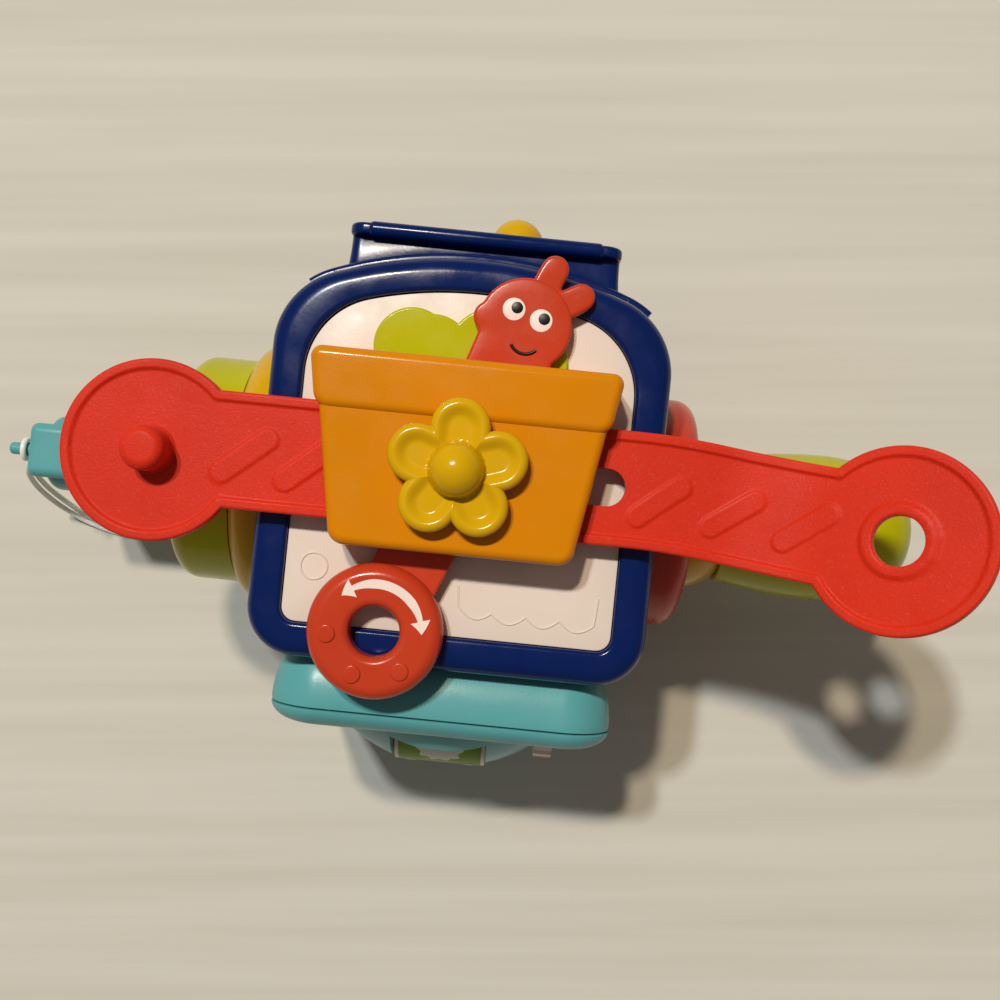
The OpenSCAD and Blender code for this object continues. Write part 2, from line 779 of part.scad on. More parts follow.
// Soft strap through the pot: peg disc, slotted flat run, two bends and the holed disc
module strap() color("orangered") translate([0, 0, strap_z]) difference() {
    union() {
        linear_extrude(strap_t) strap_flat_outline(bead_w);
        linear_extrude(strap_t + bead_h) difference() {
            strap_flat_outline(0);
            strap_flat_outline(bead_w);
        }
        translate([-peg_disc_x, -peg_disc_y, 0]) round_disc(peg_r, strap_t + peg_h, 3);
        translate([flat_run, -side_bend_r, 0]) rotate(90 - side_bend)
            rotate_extrude(angle = side_bend, $fn = 720)
            translate([side_bend_r, 0]) strap_section();
        after_side_bend() translate([0, 0, rise_r]) rotate([90, 0, 0]) rotate(-90)
            rotate_extrude(angle = rise, $fn = 180) translate([rise_r, 0]) rotate(90) strap_section();
        after_rise() translate([0, 0, -strap_skin]) {
            linear_extrude(strap_t + 2 * strap_skin) strap_end_outline(-strap_skin);
            linear_extrude(strap_t + bead_h + 2 * strap_skin) difference() {
                strap_end_outline(-strap_skin);
                strap_end_outline(bead_w + strap_skin);
            }
            translate([tail, 0, 0]) cylinder(r = hole_r + collar_w, h = strap_t + bead_h + 2 * strap_skin);
        }
    }
    translate([0, 0, -cut]) {
        for (x = [-slot_left, slot_right]) translate([x, 0, 0]) cylinder(d = slot_w, h = strap_t + 2 * cut);
        translate([-slot_left, -slot_w / 2, 0]) cube([slot_left + slot_right, slot_w, strap_t + 2 * cut]);
    }
    after_rise() translate([tail, 0, -cut]) cylinder(r = hole_r, h = strap_t + bead_h + 2 * cut);
}

// Fixed disc on the left face, with the spigot that the dial turns on
module dial_base() color("gold") at_dial() difference() {
    union() {
        round_disc(dial_base_r, dial_base_t, dial_base_round);
        cylinder(r = spigot_r, h = spigot_end);
    }
    translate([0, 0, socket_floor]) cylinder(r = socket_r, h = spigot_end);
    around(dial_screw_ring) translate([0, 0, -cut]) cylinder(r = pilot_r, h = bite + cut);
}

module dial_screws() color("silver") at_dial() around(dial_screw_ring) translate([0, 0, -wall])
    screw(wall + bite - 1);

// Turning drum, hollow at the back
module dial() color("yellowgreen") at_dial() translate([0, 0, dial_at]) difference() {
    round_disc(dial_r, dial_t, dial_round);
    translate([0, 0, -cut]) {
        cylinder(r = spigot_r + run_play, h = dial_t + 2 * cut);
        ring(dial_r - wall, spigot_r + wall, dial_t - 2 * wall);
    }
}

module dial_retainer() color("gold") at_dial() translate([0, 0, spigot_end])
    ring(spigot_r + wall, socket_r, retainer_t);

// Plug with a stem in the spigot's socket and a rod for the tether
module pull_plug() color("cadetblue") at_dial() {
    translate([0, 0, plug_at]) round_disc(plug_r, plug_len, 4);
    translate([0, 0, plug_at - stem_len]) cylinder(r = socket_r - gap, h = stem_len + eps);
    translate([-block_h / 2, -block_w / 2, rod_at - block_len]) cube([block_h, block_w, block_len]);
    translate([0, 0, rod_at - eps]) cylinder(r = rod_r, h = rod_len + eps);
}

module tether_loop() color("gainsboro") at_dial() translate([0, 0, loop_at])
    rotate_extrude() translate([loop_r, 0]) circle(r = tether_r, $fn = 24);

module tether_anchor() color("midnightblue") translate([-core_half, anchor_y, anchor_z]) rotate([0, -90, 0])
    round_disc(anchor_r, anchor_len, 1);

// Point on the tether's smooth route: u runs from 0 to the number of spans
function route_knot(i) = tether_points[max(0, min(i, len(tether_points) - 1))];
function route_mix(a, b, c, d, t) =
    0.5 * (2 * b + (c - a) * t + (2 * a - 5 * b + 4 * c - d) * t * t + (3 * b - a - 3 * c + d) * t * t * t);
function route_at(u) =
    let (i = min(floor(u), len(tether_points) - 2))
    route_mix(route_knot(i - 1), route_knot(i), route_knot(i + 1), route_knot(i + 2), u - i);
function unit(v) = v / norm(v);

// Tether strand: a tube beside the route, set to one side by its share of the pitch
module tether_strand(side) {
    rings = tether_steps * (len(tether_points) - 1);
    route = [for (k = [0 : rings]) route_at(k / tether_steps)];
    ahead = [for (k = [0 : rings]) unit(route[min(k + 1, rings)] - route[max(k - 1, 0)])];
    level = [for (v = ahead) unit(cross(v, [0.3, 1, 0.6]))];
    across = [for (k = [0 : rings]) unit(cross(ahead[k], level[k]))];
    sweep = [
        for (k = [0 : rings], s = [0 : tether_sides - 1])
            let (a = 360 * s / tether_sides, centre = route[k] + across[k] * side * tether_pitch / 2)
            centre + tether_r * (cos(a) * level[k] + sin(a) * across[k])
    ];
    n = tether_sides;
    walls = [
        for (k = [0 : rings - 1], s = [0 : n - 1])
            let (a = k * n + s, b = k * n + (s + 1) % n)
            each [[a, b, b + n], [a, b + n, a + n]]
    ];
    polyhedron(points = sweep, faces = concat(
        walls,
        [for (s = [1 : n - 2]) [0, s + 1, s]],
        [for (s = [1 : n - 2]) [rings * n, rings * n + s, rings * n + s + 1]]
    ));
}

module tether_strand_a() color("gainsboro") tether_strand(1);
module tether_strand_b() color("gainsboro") tether_strand(-1);

// Fixed disc on the right face, hollowed for the ball
module stick_base() color("lightcoral") at_stick() difference() {
    round_disc(stick_base_r, stick_base_t, stick_base_round);
    translate([0, 0, ball_out]) sphere(r = dome_r + ball_play);
    translate([0, 0, -cut]) cylinder(r = dome_r + ball_play, h = ball_out + cut);
    around(stick_screw_ring) translate([0, 0, -cut]) cylinder(r = pilot_r, h = bite + cut);
}

module stick_screws() color("silver") at_stick() around(stick_screw_ring)
    translate([0, 0, -wall - bracket_t]) screw(wall + bracket_t + bite - 1);

// Inner plate with two prongs that carry the gimbal
module stick_bracket() color("dimgray") at_stick() difference() {
    union() {
        translate([0, 0, -wall - bracket_t]) ring(bracket_out, stick_hole_r, bracket_t);
        for (s = [-1, 1]) mirror([s < 0 ? 1 : 0, 0, 0]) {
            translate([yoke_in, -yoke_half_w, -wall - bracket_t])
                cube([stick_hole_r - yoke_in + 2, 2 * yoke_half_w, bracket_t]);
            translate([yoke_in, -yoke_half_w, -wall - bracket_t])
                cube([yoke_out - yoke_in, 2 * yoke_half_w, wall + bracket_t + ball_out + yoke_half_w]);
        }
    }
    around(stick_screw_ring) translate([0, 0, -wall - bracket_t - cut])
        cylinder(r = through_r, h = bracket_t + 2 * cut);
    translate([-bracket_out, 0, ball_out]) rotate([0, 90, 0])
        cylinder(r = pin_r + pilot_play, h = 2 * bracket_out);
}

module yoke_pins() color("silver") at_stick() for (s = [0, 1]) mirror([s, 0, 0])
    translate([ring_in + 0.5, 0, ball_out]) rotate([0, 90, 0])
        cylinder(r = pin_r, h = yoke_out - ring_in - 0.5);

// Ring that turns on the yoke pins and carries the shaft's pin
module gimbal_ring() color("dimgray") at_stick() translate([0, 0, ball_out]) difference() {
    translate([0, 0, -ring_half_t]) ring(ring_out, ring_in, 2 * ring_half_t);
    for (way = [[0, 90, 0], [90, 0, 0]]) rotate(way)
        cylinder(r = pin_r + run_play, h = 3 * ring_out, center = true);
}

module shaft_pin() color("silver") at_stick() translate([0, 0, ball_out]) rotate([90, 0, 0])
    cylinder(r = pin_r, h = 2 * ring_out, center = true);

module stick_shaft() color("dimgray") at_stick() difference() {
    union() {
        translate([0, 0, ball_out]) {
            rotate([90, 0, 0]) cylinder(r = shaft_hub_r, h = 2 * shaft_hub_half, center = true);
            cylinder(r = shaft_r, h = shaft_end - ball_out);
        }
        translate([0, 0, ball_out + sqrt(dome_in * dome_in - collar_r * collar_r) - collar_h])
            cylinder(r = collar_r, h = collar_h);
    }
    translate([0, 0, ball_out]) rotate([90, 0, 0])
        cylinder(r = pin_r + pilot_play, h = 3 * ring_out, center = true);
    translate([0, 0, shaft_end - bite]) cylinder(r = pilot_r, h = bite + cut);
}

// Ball that closes the base's hollow and tilts with the shaft
module stick_dome() color("gold") at_stick() translate([0, 0, ball_out]) difference() {
    sphere(r = dome_r, $fn = 96);
    sphere(r = dome_in, $fn = 96);
    translate([0, 0, -2 * dome_r - dome_cut]) cylinder(r = 2 * dome_r, h = 2 * dome_r);
    cylinder(r = shaft_r + pilot_play, h = 2 * dome_r);
}

// Half-profiles of the knob, set in by d
function rear_profile(d) = [
    for (t = [0 : 10 : 90]) [knob_mouth_r + (knob_r - knob_mouth_r) * sin(t) - d, knob_rear_len * t / 90]
];
function front_profile(d) = [
    for (t = [0 : 6 : 90]) [(knob_r - d) * pow(max(cos(t), 0), knob_power), (knob_front_len - d) * sin(t)]
];

module knob_rear() color("yellowgreen") at_stick() difference() {
    translate([0, 0, knob_at]) rotate_extrude()
        polygon(concat([[0, 0]], rear_profile(0), [[0, knob_rear_len]]));
    translate([0, 0, ball_out]) sphere(r = dome_r + gap, $fn = 96);
    translate([0, 0, knob_at + knob_solid])
        ring(knob_mouth_r - wall, knob_tube_r, knob_rear_len - knob_solid + cut);
    translate([0, 0, knob_at]) cylinder(r = shaft_r + pilot_play, h = knob_rear_len + cut);
}

module knob_front() color("yellowgreen") at_stick() translate([0, 0, knob_mid]) difference() {
    rotate_extrude() polygon(concat([[0, 0]], front_profile(0)));
    difference() {
        translate([0, 0, -eps]) rotate_extrude() polygon(concat([[0, 0]], front_profile(wall)));
        translate([0, 0, -cut]) cylinder(r = knob_tube_r, h = knob_front_len);
    }
    translate([0, 0, -cut]) cylinder(r = shaft_r + pilot_play, h = shaft_end - knob_mid + cut);
    cylinder(r = through_r, h = knob_front_len);
    translate([0, 0, shaft_end - knob_mid + wall]) cylinder(r = screw_head_r + hole_play, h = knob_front_len);
}

module knob_screw() color("silver") at_stick() translate([0, 0, shaft_end + wall]) mirror([0, 0, 1])
    screw(wall + bite - 1);

// Level and set-in of a soft-edged case slice
module case_slices(from, depth, soft) {
    hull() for (a = [0, 30, 55, 75, 90], x = [-1, 1], y = [-1, 1])
        translate([x * (case_half_w - case_corner_r), y * (case_half_h - case_corner_r),
                   from + depth * sin(a) - ((depth > 0) == (a > 0) ? eps : 0)])
            cylinder(r = case_corner_r - soft * (1 - cos(a)), h = eps, $fn = 32);
}

// Room under the frame's overhang
module frame_room() prism(-gap, core_top - gap, top_z + cut);

// Rear half of the roller case, with the bearings of the axle
module case_rear() color("cadetblue") difference() {
    at_roller() difference() {
        union() {
            difference() {
                case_slices(case_rear_d, -case_rear_d, case_soft_rear);
                translate([0, 0, wall]) linear_extrude(case_rear_d)
                    round_rect(case_half_w - case_soft_rear - wall, case_half_h - case_soft_rear - wall, boss_r);
            }
            at_case_screws() cylinder(r = boss_r, h = case_rear_d);
            for (s = [0, 1]) mirror([s, 0, 0]) translate([bearing_x, 0, 0]) {
                translate([0, -bearing_r, wall - eps])
                    cube([bearing_w, 2 * bearing_r, roller_out - wall + eps]);
                translate([0, 0, roller_out]) rotate([0, 90, 0]) cylinder(r = bearing_r, h = bearing_w);
            }
        }
        at_case_screws() translate([0, 0, -cut]) cylinder(r = through_r, h = case_rear_d + 2 * cut);
        translate([-roller_half_w - turn_room, -rear_room, -cut])
            cube([bearing_x - 1 + roller_half_w + turn_room, 2 * rear_room, wall + 2 * cut]);
        translate([wheel_x - turn_room, -rear_room, -cut])
            cube([wheel_w + 2 * turn_room, 2 * rear_room, wall + 2 * cut]);
        translate([-case_half_w, 0, roller_out]) rotate([0, 90, 0])
            cylinder(r = axle_r + run_play, h = 2 * case_half_w);
    }
    frame_room();
}

// Front half of the roller case: a domed boss with the picture window and the wheel's slot
module case_front() color("cadetblue") difference() {
    at_roller() difference() {
        union() {
            difference() {
                union() {
                    case_slices(case_rear_d, case_front_d, case_soft_front);
                    intersection() {
                        translate([0, 0, boss_sphere_z]) sphere(r = boss_sphere_r, $fn = 96);
                        translate([0, 0, case_rear_d]) cylinder(r = boss_sphere_r, h = case_d + boss_rise);
                    }
                }
                translate([0, 0, case_rear_d - cut]) linear_extrude(case_front_d - wall + cut)
                    round_rect(case_half_w - case_soft_front - wall, case_half_h - case_soft_front - wall, boss_r);
                intersection() {
                    translate([0, 0, boss_sphere_z]) sphere(r = boss_sphere_r - wall, $fn = 96);
                    translate([0, 0, case_rear_d - cut]) cylinder(r = boss_sphere_r, h = case_d + boss_rise);
                }
            }
            at_case_screws() translate([0, 0, case_rear_d])
                cylinder(r = boss_r, h = case_front_d - wall + eps);
        }
        at_case_screws() translate([0, 0, case_rear_d - cut]) cylinder(r = pilot_r, h = case_bite + cut);
        translate([-window_half_w, -window_half_h, case_rear_d])
            cube([2 * window_half_w, 2 * window_half_h, case_d + boss_rise]);
        translate([wheel_x - 0.5, -wheel_r - 1.5, case_rear_d])
            cube([wheel_w + 1, 2 * wheel_r + 3, case_d + boss_rise]);
        translate([0, 0, roller_out]) rotate([0, 90, 0]) cylinder(r = axle_r + gap, h = wheel_x);
    }
    frame_room();
}

module case_screws() color("silver") at_roller() at_case_screws() translate([0, 0, -wall])
    screw(wall + case_rear_d + case_bite - 0.5);

// Picture drum with a hub between the bearings
module picture_roller() color("white") at_roller() translate([0, 0, roller_out]) rotate([0, 90, 0])
    difference() {
    union() {
        difference() {
            cylinder(r = roller_r, h = 2 * roller_half_w, center = true);
            for (s = [0, 1]) mirror([0, 0, s]) translate([0, 0, 2])
                ring(roller_r - wall, axle_hub_r, roller_half_w);
        }
        cylinder(r = axle_hub_r, h = 2 * (bearing_x - gap), center = true);
    }
    cylinder(r = axle_r + pilot_play, h = 4 * roller_half_w, center = true);
}

// Finger wheel on the roller's axle
module thumb_wheel() color("whitesmoke") at_roller() translate([wheel_x, 0, roller_out])
    rotate([0, 90, 0]) difference() {
    cylinder(r = wheel_r, h = wheel_w);
    translate([0, 0, -cut]) cylinder(r = axle_r + pilot_play, h = wheel_w + 2 * cut);
    for (a = [0 : 20 : 340]) rotate(a) translate([wheel_r + 0.6, 0, -cut])
        cylinder(r = 1.6, h = wheel_w + 2 * cut);
}

module roller_axle() color("silver") at_roller() translate([-bearing_x - bearing_w - 2, 0, roller_out])
    rotate([0, 90, 0])
    cylinder(r = axle_r, h = bearing_x + bearing_w + 2 + wheel_x + wheel_w);

// Saddle on the arch, its neck, and the flange that the slider runs in
module back_housing() color("midnightblue") difference() {
    union() {
        difference() {
            union() {
                translate([0, 0, saddle_bottom]) linear_extrude(saddle_top - saddle_bottom) intersection() {
                    tomb(-saddle_proud);
                    translate([-saddle_half_w, arch_spring + boss_r]) square([2 * saddle_half_w, arch_top_r]);
                }
                translate([-neck_half_w, arch_spring + boss_r, neck_bottom])
                    cube([2 * neck_half_w, flange_back - arch_spring - boss_r + eps, neck_top - neck_bottom]);
                at_back(0, flange_back, (flange_bottom + flange_top) / 2) linear_extrude(flange_t)
                    round_rect(flange_half_w, (flange_top - flange_bottom) / 2, flange_corner_r);
                translate([-ridge_half_w, flange_back, flange_top - ridge_r]) rotate([0, 90, 0])
                    cylinder(r = ridge_r, h = 2 * ridge_half_w);
            }
            translate([wall - neck_half_w, 0, neck_bottom + wall])
                cube([2 * (neck_half_w - wall), flange_back, neck_top - neck_bottom - 2 * wall]);
        }
        for (x = [-1, 1], z = back_screw_z)
            at_back(x * back_screw_x, arch_spring, z)
                cylinder(r = boss_r, h = flange_back - arch_spring + eps);
    }
    prism(core_inset - seat_play, 0, top_z);
    for (x = [-1, 1], z = back_screw_z)
        at_back(x * back_screw_x, arch_spring, z) cylinder(r = pilot_r, h = flange_back - arch_spring);
    translate([slider_x - slide_left, 0, slider_z]) {
        for (x = [0, slide_left + slide_right])
            at_back(x, flange_back - cut, 0) cylinder(r = stem_r + stem_play, h = flange_t + 2 * cut);
        translate([0, flange_back - cut, -stem_r - stem_play])
            cube([slide_left + slide_right, flange_t + 2 * cut, 2 * (stem_r + stem_play)]);
    }
}

module back_screws() color("silver") for (x = [-1, 1], z = back_screw_z)
    at_back(x * back_screw_x, back_pad_y, z) screw(flange_back - back_pad_y - 2);

// Round finger knob with a stem through the flange's slot
module slider_knob() color("gold") difference() {
    union() {
        at_back(slider_x, slider_y, slider_z) rotate_extrude() intersection() {
            circle(r = slider_r);
            translate([0, flange_y + gap - slider_y]) square(2 * slider_r);
        }
        at_back(slider_x, shoe_front, slider_z) cylinder(r = stem_r, h = slider_y - shoe_front);
    }
    at_back(slider_x, shoe_front - cut, slider_z) cylinder(r = pilot_r, h = bite);
}

module slider_shoe() color("dimgray") difference() {
    translate([slider_x - shoe_half_w, shoe_front - shoe_t, slider_z - shoe_half_h])
        cube([2 * shoe_half_w, shoe_t, 2 * shoe_half_h]);
    at_back(slider_x, shoe_front - shoe_t - cut, slider_z) cylinder(r = through_r, h = shoe_t + 2 * cut);
}

module shoe_screw() color("silver") at_back(slider_x, shoe_front - shoe_t, slider_z) screw(shoe_t + bite - 2);

core_shell();
base_cover();
base_screws();
top_frame();
frame_screws();
white_panel();
leaf_inlay();
flowerpot();
pot_screws();
flower_pin();
flower();
flower_cap();
worm_lever();
strap();
dial_base();
dial_screws();
dial();
dial_retainer();
pull_plug();
tether_loop();
tether_anchor();
tether_strand_a();
tether_strand_b();
stick_base();
stick_screws();
stick_bracket();
yoke_pins();
gimbal_ring();
shaft_pin();
stick_shaft();
stick_dome();
knob_rear();
knob_front();
knob_screw();
case_rear();
case_front();
case_screws();
picture_roller();
thumb_wheel();
roller_axle();
back_housing();
back_screws();
slider_knob();
slider_shoe();
shoe_screw();
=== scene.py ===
"""Activity cube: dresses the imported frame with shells, strap, tether, finishes, light and camera."""
import json
import logging
import math
from dataclasses import dataclass
from enum import Enum
from typing import Optional, Sequence

import bmesh
import bpy
import numpy as np
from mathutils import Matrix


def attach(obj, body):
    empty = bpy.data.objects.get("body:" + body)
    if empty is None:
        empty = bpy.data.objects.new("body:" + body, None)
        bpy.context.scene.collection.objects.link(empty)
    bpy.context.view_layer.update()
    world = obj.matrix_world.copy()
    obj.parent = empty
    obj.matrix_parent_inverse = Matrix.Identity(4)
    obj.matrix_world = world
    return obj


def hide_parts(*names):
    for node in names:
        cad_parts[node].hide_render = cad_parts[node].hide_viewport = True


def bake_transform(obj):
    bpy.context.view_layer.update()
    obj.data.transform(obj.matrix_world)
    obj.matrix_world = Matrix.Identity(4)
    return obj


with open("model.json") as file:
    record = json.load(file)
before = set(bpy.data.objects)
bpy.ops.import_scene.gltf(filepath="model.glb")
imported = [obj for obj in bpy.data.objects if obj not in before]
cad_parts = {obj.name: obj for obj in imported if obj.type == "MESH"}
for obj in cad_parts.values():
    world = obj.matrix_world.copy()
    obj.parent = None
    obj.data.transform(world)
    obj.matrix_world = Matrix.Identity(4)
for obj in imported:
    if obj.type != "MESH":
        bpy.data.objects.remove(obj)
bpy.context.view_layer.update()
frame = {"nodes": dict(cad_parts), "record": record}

LOG = logging.getLogger("activity_cube")
MM = 0.001
TAU = 2.0 * math.pi
QUARTER = math.pi / 2
UP = (0, 0, 1)
DRIFT_SCALE, SMEAR_SCALE, SPECK_SCALE = 28.0, 95.0, 1100.0
DUST = (0.66, 0.60, 0.54, 1.0)
Array = np.ndarray
Obj = bpy.types.Object
Tree = bpy.types.NodeTree
Socket = bpy.types.NodeSocket


class Body(str, Enum):
    """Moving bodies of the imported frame."""

    CUBE = "cube"
    FLOWER = "flower"
    LEVER = "lever"
    STRAP = "strap"
    PLUG = "plug"
    STICK = "stick"
    ROLLER = "roller"


class Slot(str, Enum):
    """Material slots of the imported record."""

    NAVY = "navy_plastic"
    WHITE = "white_plastic"
    ORANGE = "orange_plastic"
    YELLOW = "yellow_plastic"
    LIME = "lime_plastic"
    RED = "red_plastic"
    SILICONE = "red_silicone"
    CORAL = "coral_plastic"
    TEAL = "teal_plastic"
    INNER = "inner_plastic"
    STEEL = "steel"
    CORD = "clear_cord"


def linear(rgb: Sequence[int]) -> tuple[float, float, float, float]:
    """Turns an 8-bit display colour into linear red, green and blue with an alpha of 1."""
    c = np.asarray(rgb, float) / 255.0
    lin = np.where(c <= 0.04045, c / 12.92, ((c + 0.055) / 1.055) ** 2.4)
    return (float(lin[0]), float(lin[1]), float(lin[2]), 1.0)


def feed(tree: Tree, target: bpy.types.Node, inputs: dict) -> bpy.types.Node:
    """Fills a node's inputs by name or number, linking sockets and setting other values, and returns it."""
    for name, value in inputs.items():
        if isinstance(value, Socket):
            tree.links.new(value, target.inputs[name])
        else:
            target.inputs[name].default_value = value
    return target


def noise(tree: Tree, vector: Socket, scale: float, detail: float) -> Socket:
    """Adds a noise texture and returns its value."""
    made = tree.nodes.new("ShaderNodeTexNoise")
    return feed(tree, made, {"Scale": scale, "Detail": detail, "Vector": vector}).outputs["Fac"]


def span(tree: Tree, value: Socket, start: float, end: float, low: float, high: float) -> Socket:
    """Maps a value from the range start to end onto low to high and returns the result."""
    made = tree.nodes.new("ShaderNodeMapRange")
    ends = {"From Min": start, "From Max": end, "To Min": low, "To Max": high}
    return feed(tree, made, {**ends, "Value": value}).outputs["Result"]


def mix(tree: Tree, share: Socket, under: Socket, over: Sequence[float]) -> Socket:
    """Lays a share of one colour over another and returns the mix."""
    made = tree.nodes.new("ShaderNodeMix")
    made.data_type = "RGBA"
    return feed(tree, made, {0: share, 6: under, 7: over}).outputs[2]


def ramp(tree: Tree, value: Socket, *stops: tuple) -> Socket:
    """Turns a value into a colour between two stops of place and colour."""
    made = tree.nodes.new("ShaderNodeValToRGB")
    for stop, (place, color) in zip(made.color_ramp.elements, stops):
        stop.position, stop.color = place, color
    return feed(tree, made, {"Fac": value}).outputs["Color"]


@dataclass(frozen=True)
class Finish:
    """A moulded or drawn surface: its colour, gloss and the grain that its tool left.

    Attributes:
        name: plain name of the material.
        color: display colour, 0 to 255.
        rough: mean roughness.
        rough_swing: how far smears and handling change the roughness.
        mottle: share by which the colour drifts over a few centimetres.
        grain: wavelengths of the fine grain in a metre.
        grain_depth: strength of the fine grain in the normal, 0 to 1.
        metallic: 1 for bare metal.
        coat: clear gloss over the colour.
        sheen: soft edge light of rubber and braid.
        scatter: depth that light travels in the skin, in metres.
        edge_highlight: painted highlight, how much paler sharp outer edges are made.
        dust: strength of fine pale specks.
        specular: strength of the plain reflection.
    """

    name: str
    color: tuple[int, int, int]
    rough: float = 0.32
    rough_swing: float = 0.08
    mottle: float = 0.05
    grain: float = 900.0
    grain_depth: float = 0.05
    metallic: float = 0.0
    coat: float = 0.0
    sheen: float = 0.0
    scatter: float = 0.0
    edge_highlight: float = 0.10
    dust: float = 0.0
    specular: float = 0.26

    def material(self) -> bpy.types.Material:
        """Builds the node material once and returns it."""
        known = bpy.data.materials.get(self.name)
        if known is not None:
            return known
        mat = bpy.data.materials.new(self.name)
        mat.use_nodes = True
        tree = mat.node_tree
        place = tree.nodes.new("ShaderNodeTexCoord").outputs["Object"]
        gloss = span(tree, noise(tree, place, SMEAR_SCALE, 5.0), 0.3, 0.7,
                     max(self.rough - self.rough_swing, 0.03), self.rough + self.rough_swing)
        bump = feed(tree, tree.nodes.new("ShaderNodeBump"), {
            "Strength": self.grain_depth, "Distance": 0.0004, "Height": noise(tree, place, self.grain, 2.0)})
        shader = feed(tree, tree.nodes["Principled BSDF"], {
            "Base Color": self.shade(tree, place), "Roughness": gloss, "Normal": bump.outputs["Normal"],
            "Metallic": self.metallic, "Specular IOR Level": self.specular, "Coat Weight": self.coat,
            "Coat Roughness": 0.12, "Sheen Weight": self.sheen})
        if self.scatter:
            feed(tree, shader, {"Subsurface Weight": 0.25, "Subsurface Scale": self.scatter,
                                "Subsurface Radius": (1.0, 0.4, 0.3)})
        return mat

    def shade(self, tree: Tree, place: Socket) -> Socket:
        """Mixes two near shades by a slow noise, paints a highlight on outer edges by their sharpness, and adds
        specks.
        """
        base = np.asarray(linear(self.color)[:3])
        dim, bright = base * (1.0 - self.mottle), np.clip(base * (1.0 + self.mottle), 0, 1)
        drift = ramp(tree, noise(tree, place, DRIFT_SCALE, 3.0), (0.32, (*dim, 1.0)), (0.68, (*bright, 1.0)))
        # painted highlight: sharp outer edges, found by pointiness, are lightened towards a paler tone
        edge = tree.nodes.new("ShaderNodeNewGeometry").outputs["Pointiness"]
        highlight_tone = (*np.clip(base * 1.5 + 0.06, 0, 1), 1.0)
        pale = mix(tree, span(tree, edge, 0.54, 0.70, 0.0, self.edge_highlight), drift, highlight_tone)
        specks = noise(tree, place, SPECK_SCALE, 3.0)
        return mix(tree, span(tree, specks, 0.60, 0.74, 0.0, self.dust), pale, DUST)


NAVY = Finish("navy gloss plastic", (5, 28, 84), rough=0.21, coat=0.08, grain_depth=0.04, specular=0.20)
WHITE = Finish("white satin plastic", (224, 206, 193), rough=0.38, mottle=0.02, edge_highlight=0.0)
ORANGE = Finish("orange satin plastic", (211, 127, 0), rough=0.25, mottle=0.04, grain=1400, grain_depth=0.09,
                coat=0.25, specular=0.10)
YELLOW = Finish("yellow gloss plastic", (208, 160, 2), rough=0.21, mottle=0.04, coat=0.18, specular=0.2)
LIME = Finish("lime gloss plastic", (178, 174, 0), rough=0.21, mottle=0.04, coat=0.18, specular=0.12)
RED = Finish("red gloss plastic", (192, 60, 31), rough=0.23, mottle=0.04, coat=0.15, specular=0.18)
SILICONE = Finish("red matt silicone", (209, 46, 22), rough=0.47, rough_swing=0.10, mottle=0.06, grain=1600,
                  grain_depth=0.20, sheen=0.02, scatter=0.002, edge_highlight=0.05, dust=0.05, specular=0.12)
CORAL = Finish("coral gloss plastic", (194, 62, 42), rough=0.25, mottle=0.04, coat=0.08, specular=0.2)
TEAL = Finish("teal satin plastic", (88, 158, 161), rough=0.34, mottle=0.04, grain=1500, grain_depth=0.05)
INNER = Finish("grey inner plastic", (120, 122, 126), rough=0.45)
STEEL = Finish("zinc plated steel", (178, 178, 182), rough=0.30, metallic=1.0, mottle=0.06, specular=0.5)
CORD = Finish("silver braided cord", (238, 236, 228), rough=0.20, mottle=0.10, sheen=0.2, coat=0.3,
              specular=0.5)
BLACK = Finish("black print", (16, 16, 18), rough=0.35, edge_highlight=0.0)
PRINT_WHITE = Finish("white print", (240, 218, 208), rough=0.38, mottle=0.02, edge_highlight=0.0)
PRINT_GREEN = Finish("green print", (112, 144, 16), rough=0.42, edge_highlight=0.0, specular=0.2)
PRINT_CREAM = Finish("cream print", (206, 202, 188), rough=0.42, mottle=0.02, edge_highlight=0.0)

FINISHES = (NAVY, WHITE, ORANGE, YELLOW, LIME, RED, SILICONE, CORAL, TEAL, INNER, STEEL, CORD)
FINISH_OF_SLOT: dict[Slot, Finish] = dict(zip(Slot, FINISHES))


@dataclass(frozen=True)
class Patch:
    """A grid of points in millimetres, rows by columns by three.

    Attributes:
        grid: the points.
        wrap_rows: the last row joins the first.
        wrap_cols: the last column joins the first.
    """

    grid: Array
    wrap_rows: bool = False
    wrap_cols: bool = True

    def quads(self) -> Array:
        """Returns the corner numbers of every cell, one row of four for each."""
        rows, cols = self.grid.shape[:2]
        i = np.arange(rows if self.wrap_rows else rows - 1)[:, None]
        j = np.arange(cols if self.wrap_cols else cols - 1)[None, :]
        i2, j2 = (i + 1) % rows, (j + 1) % cols
        corners = [i * cols + j, i2 * cols + j, i2 * cols + j2, i * cols + j2]
        return np.stack(np.broadcast_arrays(*corners), axis=-1).reshape(-1, 4)


def fan(ring: Array) -> Patch:
    """Closes a ring with a disc drawn in to the ring's mean point."""
    return Patch(np.stack([ring, np.broadcast_to(ring.mean(axis=0), ring.shape)]))


def capped(grid: Array) -> tuple[Patch, Patch, Patch]:
    """Wall of a grid with its first and last rings closed."""
    return Patch(grid), fan(grid[0]), fan(grid[-1])


